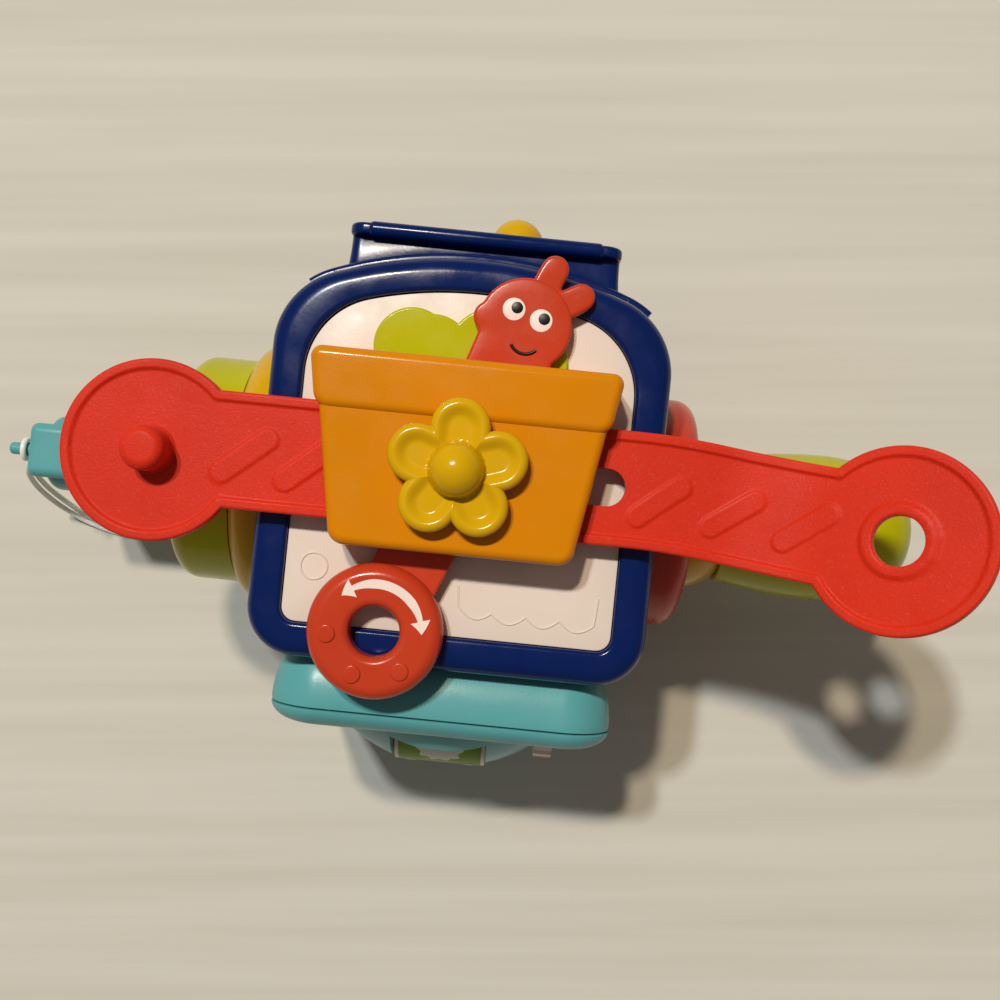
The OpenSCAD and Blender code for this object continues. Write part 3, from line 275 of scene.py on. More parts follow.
def settle(mesh: bpy.types.Mesh, sharp: float, turn: bool = True) -> None:
    """Merges doubles, turns faces outwards if asked to, and shades smooth up to a sharp angle in degrees."""
    work = bmesh.new()
    work.from_mesh(mesh)
    bmesh.ops.remove_doubles(work, verts=work.verts, dist=2e-6)
    bmesh.ops.dissolve_degenerate(work, edges=work.edges, dist=1e-7)
    if turn:
        bmesh.ops.recalc_face_normals(work, faces=work.faces)
    work.to_mesh(mesh)
    work.free()
    mesh.polygons.foreach_set("use_smooth", np.ones(len(mesh.polygons), bool))
    mesh.set_sharp_from_angle(angle=math.radians(sharp))


def add(name: str, data: bpy.types.ID) -> Obj:
    """Links a new object at the origin to the scene."""
    obj = bpy.data.objects.new(name, data)
    bpy.context.scene.collection.objects.link(obj)
    return obj


def piece(name: str, finish: Optional[Finish], *patches: Patch, sharp: float = 38.0) -> Obj:
    """Joins patches into one closed mesh object at the origin.

    Args:
        name: the object's name.
        finish: its finish, or None for a cutter.
        patches: the grids that make up its surface.
        sharp: crease angle in degrees.

    Returns:
        The new object.
    """
    counts = np.cumsum([0] + [p.grid.shape[0] * p.grid.shape[1] for p in patches])
    points = np.concatenate([p.grid.reshape(-1, 3) for p in patches]) * MM
    faces = np.concatenate([p.quads() + n for p, n in zip(patches, counts)])
    mesh = bpy.data.meshes.new(name)
    mesh.from_pydata(points.tolist(), [], faces.tolist())
    settle(mesh, sharp)
    if finish is not None:
        mesh.materials.append(finish.material())
    return add(name, mesh)


def combine(target: Obj, adds: Sequence[Obj], cuts: Sequence[Obj],
            sharp: float = 38.0) -> Obj:
    """Fuses solids with a piece, then cuts others out of it, and keeps the resulting mesh.

    Args:
        target: the piece that stays.
        adds: solids that are fused with it and used up.
        cuts: solids that are cut out of it and used up.
        sharp: crease angle in degrees.

    Returns:
        The target with its new mesh.
    """
    for how, others in (("UNION", adds), ("DIFFERENCE", cuts)):
        for other in others:
            step = target.modifiers.new(how.lower(), "BOOLEAN")
            step.operation = how
            step.solver = "MANIFOLD"
            step.object = other
    graph = bpy.context.evaluated_depsgraph_get()
    result = bpy.data.meshes.new_from_object(target.evaluated_get(graph))
    target.modifiers.clear()
    old, target.data = target.data, result
    result.name = target.name
    bpy.data.meshes.remove(old)
    for other in (*adds, *cuts):
        spent = other.data
        bpy.data.objects.remove(other)
        bpy.data.meshes.remove(spent)
    settle(result, sharp, turn=False)
    return steady(target)


def steady(obj: Obj) -> Obj:
    """Lets broad flat faces rule the shading beside narrow rounds."""
    rule = obj.modifiers.new("even", "WEIGHTED_NORMAL")
    rule.keep_sharp = True
    rule.weight = 60
    return obj


def normed(v: Array) -> Array:
    """Rows of vectors brought to unit length."""
    return v / np.linalg.norm(v, axis=1, keepdims=True)


def fresh(path: Array) -> Array:
    """Mask of the points that don't repeat the one before."""
    return np.linalg.norm(np.diff(path, axis=0, prepend=path[:1] + 1.0), axis=1) > 1e-7


def run_of(path: Array) -> Array:
    """Distance along a path to each of its points."""
    return np.concatenate([[0.0], np.cumsum(np.linalg.norm(np.diff(path, axis=0), axis=1))])


def turns(count: int) -> Array:
    """Angles at equal steps around a full turn."""
    return np.linspace(0, TAU, count, endpoint=False)


def rounded(corners: Sequence[tuple[float, float, float]], closed: bool = False, steps: int = 7) -> Array:
    """Path through corners, each replaced by the arc that touches both of its legs.

    The arc's centre lies on the corner's bisector at r / sin(half angle), and its points turn evenly
    from the foot on one leg to the foot on the other.

    Args:
        corners: x, y and radius of each corner.
        closed: whether the last corner leads back to the first.
        steps: points along each arc.

    Returns:
        Points in order, two columns.
    """
    c = np.asarray(corners, float)
    at, r = c[:, :2], c[:, 2]
    back = np.roll(at, 1, axis=0) - at
    ahead = np.roll(at, -1, axis=0) - at
    if not closed:
        back[0], ahead[-1] = -ahead[0], -back[-1]
    u, v = normed(back), normed(ahead)
    half = np.arccos(np.clip((u * v).sum(axis=1), -1, 1)) / 2
    flat = (half > QUARTER - 1e-4) | (r < 1e-9)
    half = np.where(flat, math.pi / 4, half)
    r = np.where(flat, 0.0, r)
    way = u + v
    way = np.where(flat[:, None], 0.0, way / np.maximum(np.linalg.norm(way, axis=1, keepdims=True), 1e-9))
    centre = at + way * (r / np.sin(half))[:, None]
    foot_u = at + u * (r / np.tan(half))[:, None] - centre
    foot_v = at + v * (r / np.tan(half))[:, None] - centre
    t = np.linspace(0, 1, steps)[None, :]
    turn = (math.pi - 2 * half)[:, None]
    a, b = np.sin((1 - t) * turn) / np.sin(turn), np.sin(t * turn) / np.sin(turn)
    path = centre[:, None] + a[..., None] * foot_u[:, None] + b[..., None] * foot_v[:, None]
    path = np.where(flat[:, None, None], at[:, None], path).reshape(-1, 2)
    return path[fresh(path)]


def box_ring(wide: float, low: float, high: float, r: float, steps: int = 7) -> Array:
    """Rounded rectangle, counter-clockwise, as far to the left as to the right."""
    corners = [(-wide, low, r), (wide, low, r), (wide, high, r), (-wide, high, r)]
    return rounded(corners, closed=True, steps=steps)


def unit(t: Array) -> Array:
    """Cosine and sine of angles, as the last axis."""
    # """Builds the dressed cube and its stage."""
    return np.stack([np.cos(t), np.sin(t)], axis=-1)


def lift(flat: Array, level: Array) -> Array:
    """Adds a height to flat points: one for all, or one that fits their rows and columns."""
    return np.concatenate([flat, np.broadcast_to(level, flat.shape[:-1])[..., None]], axis=-1)


def frame_of(axis: Sequence[float]) -> tuple[Array, Array, Array]:
    """Unit axis with two unit vectors square to it, right-handed."""
    a = np.asarray(axis, float) / np.linalg.norm(axis)
    e = np.cross([0.0, 0.0, 1.0] if abs(a[2]) < 0.9 else [0.0, 1.0, 0.0], a)
    e /= np.linalg.norm(e)
    return a, e, np.cross(a, e)


def lathe(profile: Array, origin: Sequence[float], axis: Sequence[float], steps: int = 128,
          closed: bool = False) -> Patch:
    """Profile turned about an axis: a point at distance d and radius r goes to origin + d axis + r (cos, sin).

    Args:
        profile: distance along the axis and radius, two columns.
        origin: where the axis starts, in millimetres.
        axis: direction of the axis.
        steps: points around a turn.
        closed: whether the profile closes on itself.

    Returns:
        The turned grid, one row for each angle.
    """
    a, e, f = frame_of(axis)
    turn = turns(steps)[:, None, None]
    d, r = profile[None, :, :1], profile[None, :, 1:]
    return Patch(np.asarray(origin) + d * a + r * (np.cos(turn) * e + np.sin(turn) * f), True, closed)


def prism(outline: Array, low: float, high: float) -> tuple[Patch, Patch, Patch]:
    """Upright solid on a plane outline, for cuts."""
    return capped(np.stack([lift(outline, z) for z in (low, high)]))


def block(low: Sequence[float], high: Sequence[float]) -> tuple[Patch, Patch, Patch]:
    """Box between two corners, for cuts."""
    (x0, y0, z0), (x1, y1, z1) = low, high
    return prism(np.array([[x0, y0], [x1, y0], [x1, y1], [x0, y1]]), z0, z1)


def circle(x: float, y: float, r: float, steps: int = 96) -> Array:
    """Points of a circle, counter-clockwise."""
    return np.array([x, y]) + r * unit(turns(steps))


def capsule(a: Sequence[float], b: Sequence[float], r: float, steps: int = 24) -> Array:
    """Outline of the points within r of the line from a to b."""
    a, b = np.asarray(a, float), np.asarray(b, float)
    lean = math.atan2(b[1] - a[1], b[0] - a[0])
    t = lean - QUARTER + np.linspace(0, math.pi, steps)
    tip = unit(t) * r
    return np.concatenate([b + tip, a - tip])


def even(ring: Array, count: int) -> Array:
    """Points at equal steps along a closed outline."""
    loop = np.concatenate([ring, ring[:1]])
    run = run_of(loop)
    at = np.linspace(0, run[-1], count, endpoint=False)
    return np.column_stack([np.interp(at, run, loop[:, 0]), np.interp(at, run, loop[:, 1])])


def outward(ring: Array) -> Array:
    """Unit normals of a counter-clockwise closed outline, from its central differences."""
    along = np.roll(ring, -1, axis=0) - np.roll(ring, 1, axis=0)
    return normed(np.column_stack([along[:, 1], -along[:, 0]]))


def plate(ring: Array, low: float, high: float, edge: float, foot: float = 0.3, steps: int = 6,
          middle: Optional[Sequence[float]] = None) -> Patch:
    """Flat plate on an outline, with a round of radius edge on its top and a small one at its foot.

    Each level is the outline moved inwards by r (1 - cos a) at a height r sin a along the round, and
    the faces are drawn in to the outline's mean point.

    Args:
        ring: counter-clockwise outline, star-shaped about its mean point.
        low: height of the under face.
        high: height of the top face.
        edge: radius of the top edge.
        foot: radius of the lower edge.
        steps: levels on each round.
        middle: point that the faces are drawn in to, if not the mean point.

    Returns:
        The closed grid, one row for each level.
    """
    a = np.linspace(0, QUARTER, steps)
    inset = np.concatenate([foot * (1 - np.sin(a)), edge * (1 - np.cos(a))])
    level = np.concatenate([low + foot * (1 - np.cos(a)), high - edge + edge * np.sin(a)])
    rings = ring[None] - inset[:, None, None] * outward(ring)[None]
    share = np.array([0.75, 0.5, 0.25, 0.0])[:, None, None]
    middle = ring.mean(axis=0) if middle is None else np.asarray(middle, float)
    top = middle + (rings[-1] - middle) * share
    bottom = (middle + (rings[0] - middle) * share)[::-1]
    tall = np.concatenate([np.full(4, low), level, np.full(4, high)])
    return Patch(lift(np.concatenate([bottom, rings, top]), tall[:, None]))


def dress(obj: Obj, body: Body, slot: Slot, *nodes: str) -> Obj:
    """Lets a piece move with a body and hides the solids that it stands for."""
    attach(obj, body.value)
    if nodes:
        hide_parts(*nodes)
    LOG.info("%s rides on %s", obj.name, body.value)
    return obj


def smooth(t: Array) -> Array:
    """Smooth step from 0 to 1 as t goes from 0 to 1."""
    t = np.clip(t, 0.0, 1.0)
    return t * t * (3.0 - 2.0 * t)


def tube(path: Array, radius: Array, guide: Sequence[float], sides: int = 16) -> tuple[Patch, Patch, Patch]:
    """Round section carried along a path: angle t goes to path + r (cos t side + sin t up), with closed ends.

    Args:
        path: points of the centre line.
        radius: one number, or a radius for every row and side.
        guide: a direction that the path never runs along; side is square to both.
        sides: points around the section.

    Returns:
        The wall and its two ends.
    """
    ahead = np.gradient(path, axis=0)
    side = normed(np.cross(ahead, np.asarray(guide, float)))
    up = normed(np.cross(side, ahead))
    t = turns(sides)[None, :, None]
    r = np.broadcast_to(radius, (len(path), sides))[..., None]
    return capped(path[:, None] + r * (np.cos(t) * side[:, None] + np.sin(t) * up[:, None]))


@dataclass
class ArchedBox:
    """Navy frame, white panel relief and bush of the top face.

    Attributes:
        half: half-width of the box.
        foot: radius of its front corners.
        foot_y: place of their centres along Y.
        shoulder: radius of its shoulders.
        crown: place along Y of the top arc's centre, and the arc's radius.
        panel: height of the panel's face.
        lobes: place and radius of the bush's lobes.
    """

    half: float = 60.0
    foot: float = 15.0
    foot_y: float = -44.2
    shoulder: float = 24.0
    crown: tuple[float, float] = (-60.4, 125.0)
    panel: float = 114.0
    lobes: tuple = ((-18.1, 36.5, 11.5), (-12.0, 34.6, 12.0), (5.5, 37.0, 12.9), (17.0, 35.0, 11.6))

    def outline(self, inset: Sequence[float]) -> Array:
        """Outlines of the box at several insets, each made of five arcs joined by straight runs.

        Sides and top move in by the inset while a shoulder keeps its radius: its centre lies that radius inside
        the side and the top arc, so its height follows from Pythagoras about the top arc's centre.

        Args:
            inset: distances from the box's outer edge.

        Returns:
            Counter-clockwise points: inset, point, x and y.
        """
        d = np.asarray(inset, float)
        o, x, (y, top) = np.zeros_like(d), self.half - self.shoulder - d, self.crown
        rise = np.sqrt((top - self.shoulder - d) ** 2 - x ** 2)
        turn = np.degrees(np.arctan2(rise, x))
        foot_x, foot_y, foot_r = o + self.half - self.foot, o + self.foot_y, self.foot - d
        bend = o + self.shoulder
        arcs = np.array([[foot_x, foot_y, foot_r, o - 90, o], [x, rise + y, bend, o, turn],
                         [o, o + y, top - d, turn, 180 - turn], [-x, rise + y, bend, 180 - turn, o + 180],
                         [-foot_x, foot_y, foot_r, o + 180, o + 270]]).transpose(2, 0, 1)
        t = np.radians(arcs[..., 3:4] + (arcs[..., 4:5] - arcs[..., 3:4]) * np.linspace(0, 1, 33))
        return (arcs[..., None, :2] + arcs[..., None, 2:3] * unit(t)).reshape(len(d), -1, 2)

    def frame_rim(self) -> Obj:
        """Frame: a closed profile of inset and height; each point runs round the outline at its inset."""
        path = rounded([(0, 104, 0.5), (0, 116, 5.0), (10.5, 116, 1.4), (10.5, 111, 0), (14.5, 111, 0.3),
                        (14.5, 104, 0.3)], closed=True)
        flat = self.outline(path[:, 0]).transpose(1, 0, 2)
        return piece("frame_rim", NAVY, Patch(lift(flat, path[:, 1]), True, True))

    def panel_face(self) -> Obj:
        """White panel: a thin plate just inside the frame's lip."""
        ring = even(self.outline([10.7])[0], 360)
        return piece("panel_face", WHITE, plate(ring, self.panel - 2.98, self.panel, 0.3, 0.1, 4))

    def bush(self) -> Obj:
        """Bush: the farthest lobe edge along each ray from a point on its cut lower edge, as a raised plate."""
        heart = np.array([0.0, 32.0])
        ray = unit(np.linspace(0.0, math.pi, 220))
        lobes = np.asarray(self.lobes)
        to = lobes[None, :, :2] - heart
        mid = (ray[:, None] * to).sum(axis=2)
        rest = lobes[None, :, 2] ** 2 - (to ** 2).sum(axis=2) + mid ** 2
        reach = np.where(rest > 0, mid + np.sqrt(np.maximum(rest, 0)), 0.0).max(axis=1)
        crown = heart + reach[:, None] * ray
        foot = np.linspace(crown[-1], crown[0], 42)[1:-1]
        ring = np.concatenate([crown, foot])
        leaf = plate(ring, self.panel - 0.4, self.panel + 1.6, 0.8, middle=(0.0, 33.4))
        return steady(piece("bush", LIME, leaf))

    def relief(self) -> Obj:
        """Low moulded lines on the panel: a scalloped edge with its upper line, and a small ring."""
        cusps = np.array([[3.2, -39.3], [13.2, -40.6], [23.5, -40.7], [33.5, -40.8], [43.9, -41.3]])
        t = np.linspace(0, 1, 14)[None, :, None]
        scallops = cusps[:-1, None] * (1 - t) + cusps[1:, None] * t
        scallops = scallops - np.array([0, 2.6]) * np.sin(math.pi * t)
        edge = np.concatenate([[[2.6, -33.0]], scallops.reshape(-1, 2), [[44.6, -33.0]]])
        ring = circle(-40.8, -31.5, 4.0, 40)
        lines = (edge[fresh(edge)], np.concatenate([ring, ring[:1]]))
        parts = [tube(lift(p, self.panel + 0.02), 0.34, UP, 10) for p in lines]
        return piece("panel_relief", WHITE, *[patch for part in parts for patch in part])

    def build(self) -> None:
        """Makes the top face's pieces and dresses them."""
        dress(self.frame_rim(), Body.CUBE, Slot.NAVY, "top_frame")
        dress(self.panel_face(), Body.CUBE, Slot.WHITE, "white_panel")
        dress(self.bush(), Body.CUBE, Slot.LIME, "leaf_inlay")
        dress(self.relief(), Body.CUBE, Slot.WHITE)


@dataclass
class PotAndFlower:
    """Orange pot with its rim band, and the five-petal spinner on it.

    Attributes:
        foot: height of the pot's foot.
        roof: height of the pot's roof.
        wall: thickness of its walls.
        base: height of the flower's under face.
        reach: distance from the pin to each petal's centre.
        petal: radius of a petal.
    """

    foot: float = 114.05
    roof: float = 133.8
    wall: float = 2.6
    base: float = 135.3
    reach: float = 11.8
    petal: float = 8.4

    @staticmethod
    def half(y: float) -> float:
        """Half-width of the pot's sloping sides at a place along Y."""
        return 34.5 + 9.0 / 54.3 * (y + 23.8)

    def block_of(self, front: float, back: float, proud: float, high: float, name: str,
                 far_r: float = 5.0) -> Obj:
        """Rounded block of the pot between two places along Y."""
        near, far = self.half(front) + proud, self.half(back) + proud
        corners = [(-near, front, 5), (near, front, 5), (far, back, far_r), (-far, back, far_r)]
        ring = rounded(corners, closed=True, steps=12)
        return piece(name, ORANGE, plate(ring, self.foot, high, 2.6, 0.4, 8))

    def pot(self) -> Obj:
        """Pot: two rounded blocks fused, hollowed from below and opened for the strap and the lever."""
        shell = self.block_of(-23.8, 30.5, 0.0, self.roof, "flowerpot_shell")
        band = self.block_of(14.2, 31.7, 1.2, self.roof + 1.2, "band", 3.2)
        near, far = self.half(-21.2) - self.wall, self.half(27.9) - self.wall
        room = np.array([[-near, -21.2], [near, -21.2], [far, 27.9], [-far, 27.9]])
        cuts = [prism(room, 110.0, self.roof - self.wall)]
        cuts += [block((s * 43.5 - 14.5, -21.5, 110), (s * 43.5 + 14.5, 18.0, 127.5)) for s in (-1, 1)]
        cuts += [block((-29, 25.3, 110), (29, 36, 121)), block((-23, -27, 110), (23, -16, 121))]
        return combine(shell, [band], [piece(f"cut{i}", None, *c) for i, c in enumerate(cuts)])

    def posts(self) -> Obj:
        """Post that the lever turns on, and the bosses of the pot's screws."""
        along = np.array([[0, 0.0], [0, 1], [17.3, 1], [17.3, 0.0]])
        spots = ((0.0, 0.0, 5.0), (36.27, 24.3, 3.4), (-36.27, 24.3, 3.4))
        parts = [lathe(along * [1, r], (x, y, self.foot), UP, 48) for x, y, r in spots]
        return piece("pot_posts", ORANGE, *parts)

    def flower(self) -> Obj:
        """Flower: a disc whose height follows t, the depth inside the nearest petal.

        A petal is all that lies within its radius of a line that runs out from near the pin. The lip is a
        round of radius 2 for t below 2, beyond it the dish falls by 1.6, and a low hub stands at the pin;
        R(angle) = a cos d + sqrt(r^2 - (a sin d)^2) is the outline.
        """
        t = turns(400)
        d = (t - QUARTER + math.pi / 5) % (TAU / 5) - math.pi / 5
        rim = self.reach * np.cos(d) + np.sqrt(self.petal ** 2 - (self.reach * np.sin(d)) ** 2)
        roll = 2.0 * (1 - np.cos(np.linspace(0, QUARTER, 9)))
        share = np.linspace(1, 0, 44)[1:]
        r = np.concatenate([rim[None] - roll[:, None], (rim - 2.0)[None] * share[:, None]])
        ray = unit(t)
        spot = r[..., None] * ray[None]
        spoke = unit(np.radians(90 + 72 * np.arange(5)))
        run = np.clip(spot @ spoke.T, 0.35 * self.reach, self.reach)
        depth = (self.petal - np.linalg.norm(spot[:, :, None] - run[..., None] * spoke, axis=-1)).max(axis=2)
        lip = 3.4 + np.sqrt(np.maximum(4.0 - np.maximum(2.0 - depth, 0.0) ** 2, 0.0))
        high = np.where(depth < 2, lip, 5.4 - 1.6 * smooth((depth - 2) / 3.6))
        high = np.maximum(high, 5.5 - 4.0 * smooth((r - 7.6) / 1.0))
        low_r = np.stack([rim * 0.0, rim * 0.5, rim - 0.5, rim])
        low = lift(low_r[..., None] * ray[None], np.array([0, 0, 0, 0.5])[:, None])
        grid = np.concatenate([low, lift(spot, high)]) + [0, 0, self.base]
        return piece("petals", YELLOW, Patch(grid), sharp=60)

    def ball(self) -> Obj:
        """Ball centre: three quarters of a sphere standing on the hub."""
        a = np.linspace(-0.12, QUARTER, 40)
        path = np.column_stack([7.7 * np.sin(a), 7.7 * np.cos(a)])
        path = np.concatenate([[[path[0, 0], 0]], path])
        return piece("flower_ball", YELLOW, lathe(path, (0, 0, 140.8), UP, 96))

    def build(self) -> None:
        """Makes the pot and the spinner and dresses them."""
        dress(self.pot(), Body.CUBE, Slot.ORANGE, "flowerpot")
        dress(self.posts(), Body.CUBE, Slot.ORANGE)
        dress(self.flower(), Body.FLOWER, Slot.YELLOW, "flower")
        dress(self.ball(), Body.FLOWER, Slot.YELLOW, "flower_cap")


@dataclass
class WormLever:
    """Lever with a ring handle at one end and a worm's head at the other.

    Attributes:
        low: height of its under face.
        high: height of its upper face.
        ring: centre of the ring handle.
        head: centre of the head.
        arm: width of the arm.
        bore: radius of the hole for the post.
    """

    low: float = 116.5
    high: float = 120.5
    ring: tuple[float, float] = (-20.1, -48.4)
    head: tuple[float, float] = (14.7, 45.1)
    arm: float = 21.0
    bore: float = 5.3

    @staticmethod
    def bar(start: Sequence[float], end: Sequence[float], width: float) -> Array:
        """Straight bar's outline between two points, counter-clockwise."""
        a, b = np.asarray(start, float), np.asarray(end, float)
        u = (b - a) / np.linalg.norm(b - a)
        n = np.array([-u[1], u[0]]) * width / 2
        return rounded([(*(a - n), 1.6), (*(b - n), 1.6), (*(b + n), 1.6), (*(a + n), 1.6)], closed=True)

    def head_outline(self, least: float, fingers: Sequence[tuple[float, float, float]]) -> Array:
        """Outline about the head: at each angle the farthest of a circle and some fingers, softened a little.

        A finger of reach L and width w ends in a round of radius w/2 about L - w/2; a ray leaves it through
        that round, or through its side at (w/2) / |sin| of the angle between them.

        Args:
            least: the circle's radius.
            fingers: lean in degrees, reach and width of each finger.

        Returns:
            Points counter-clockwise.
        """
        t = turns(1440)
        out = np.full_like(t, least)
        lean, reach, width = np.asarray(fingers, float).T[..., None]
        d = t[None] - np.radians(lean)
        c = reach - width / 2
        across = np.abs(np.sin(d))
        tip = c * np.cos(d) + np.sqrt(np.maximum((width / 2) ** 2 - (c * across) ** 2, 0.0))
        flank = width / 2 / np.maximum(across, 1e-6)
        finger = np.where(c * across <= width / 2, tip, flank)
        out = np.maximum(out, np.where(np.cos(d) > 0, finger, 0.0).max(axis=0))
        kernel = np.exp(-0.5 * (np.arange(-18, 19) / 6.4) ** 2)
        out = np.convolve(np.concatenate([out[-18:], out, out[:18]]), kernel / kernel.sum(), "valid")
        return np.asarray(self.head) + out[:, None] * unit(t)

    def body(self) -> Obj:
        """Lever's flat body with the ring, fused from rounded plates and bored for the post."""
        low, high = self.low, self.high
        far = math.hypot(*self.head)
        back = 180 + math.degrees(math.atan2(self.head[1], self.head[0]))
        skull = self.head_outline(13.9, [(172.0, 15.4, 9.0), (back, far + 11.8, 23.6)])
        feelers = self.head_outline(6.0, [(67.0, 22.8, 8.4), (32.0, 22.6, 8.4)])
        hub = piece("lever_body", RED, plate(skull, low, high, 1.1, middle=self.head))
        arm = self.bar((0, 0), np.multiply(self.ring, 0.78), self.arm)
        others = [piece("arm", RED, plate(arm, low + 0.02, high - 0.03, 0.9)),
                  piece("feelers", RED, plate(feelers, low + 0.04, high - 0.5, 1.2, middle=self.head)),
                  piece("ring", RED, self.ring_solid())]
        bore = lathe(np.array([[0, 0], [0, self.bore], [9, self.bore], [9, 0.0]]), (0, 0, low - 3), UP, 64)
        return combine(hub, others, [piece("bore", None, bore)])

    def ring_solid(self) -> Patch:
        """Ring handle as a turned section with broad rounds."""
        path = rounded([(0, 7.4, 0.8), (0, 20, 0.8), (8, 20, 4.0), (8, 7.4, 2.4)], closed=True, steps=12)
        return lathe(path, (*self.ring, self.low), UP, 128, True)

    def studs(self) -> Obj:
        """Three low round studs on the ring."""
        path = np.concatenate([[[0, 0]], rounded([(0, 2.7, 0), (0.8, 2.7, 0.5), (0.8, 0, 0)])])
        spots = [(self.ring[0] + 13.7 * math.cos(a), self.ring[1] + 13.7 * math.sin(a), self.low + 7.8)
                 for a in np.radians([187, 248, 309])]
        return piece("ring_studs", RED, *[lathe(path, spot, UP, 40) for spot in spots])

    def arrow(self) -> Obj:
        """Printed double arrow on the ring's top: a band of radius 14 whose half-width follows the angle."""
        turn = np.array([0, 15.5, 15.55, 40, 93.5, 117.95, 118, 133.5])
        half = np.array([0.02, 2.9, 0.75, 1.35, 1.35, 0.75, 2.9, 0.02])
        a = np.unique(np.concatenate([turn, np.linspace(0, turn[-1], 120)]))
        h = np.interp(a, turn, half)[:, None]
        t = np.radians(2.5 + a)[:, None]
        r = 14 + h * np.linspace(-1, 1, 9)[None]
        flat = np.stack([self.ring[0] + r * np.cos(t), self.ring[1] + r * np.sin(t)], axis=-1)
        over = np.maximum(r - 16, 0.0)
        level = self.low + 4 + np.sqrt(16 - over ** 2)
        wall = np.concatenate([lift(flat, level + 0.09), lift(flat, level - 0.12)[:, ::-1]], axis=1)
        return piece("ring_arrow", PRINT_WHITE, *capped(wall), sharp=80)

    def face(self) -> list[Obj]:
        """Two plain eyes and a smile, as thin raised prints on the head."""
        spots = np.asarray(self.head) + np.array([[-3.6, 4.2], [4.6, 1.6]])
        disc = np.array([[-0.1, 0], [-0.1, 1], [0.1, 1], [0.14, 0.94], [0.14, 0.0]])
        white = [lathe(disc * [1, 3.3], (*s, self.high), UP, 56) for s in spots]
        look = np.array([0.9, 0.5])
        dark = [lathe(disc * [1, 1.7], (*(s + look), self.high + 0.14), UP, 40) for s in spots]
        t = np.radians(np.linspace(208, 316, 30))
        smile = np.asarray(self.head) + np.array([0.6, -4.0]) + 4.6 * unit(t)
        line = tube(lift(smile, self.high), 0.5, UP, 12)
        return [piece("worm_eyes", PRINT_WHITE, *white), piece("worm_pupils", BLACK, *dark),
                piece("worm_smile", BLACK, *line)]

    def build(self) -> None:
        """Makes the lever's pieces and dresses them."""
        dress(self.body(), Body.LEVER, Slot.RED, "worm_lever")
        for obj in [self.studs(), self.arrow(), *self.face()]:
            dress(obj, Body.LEVER, Slot.RED)


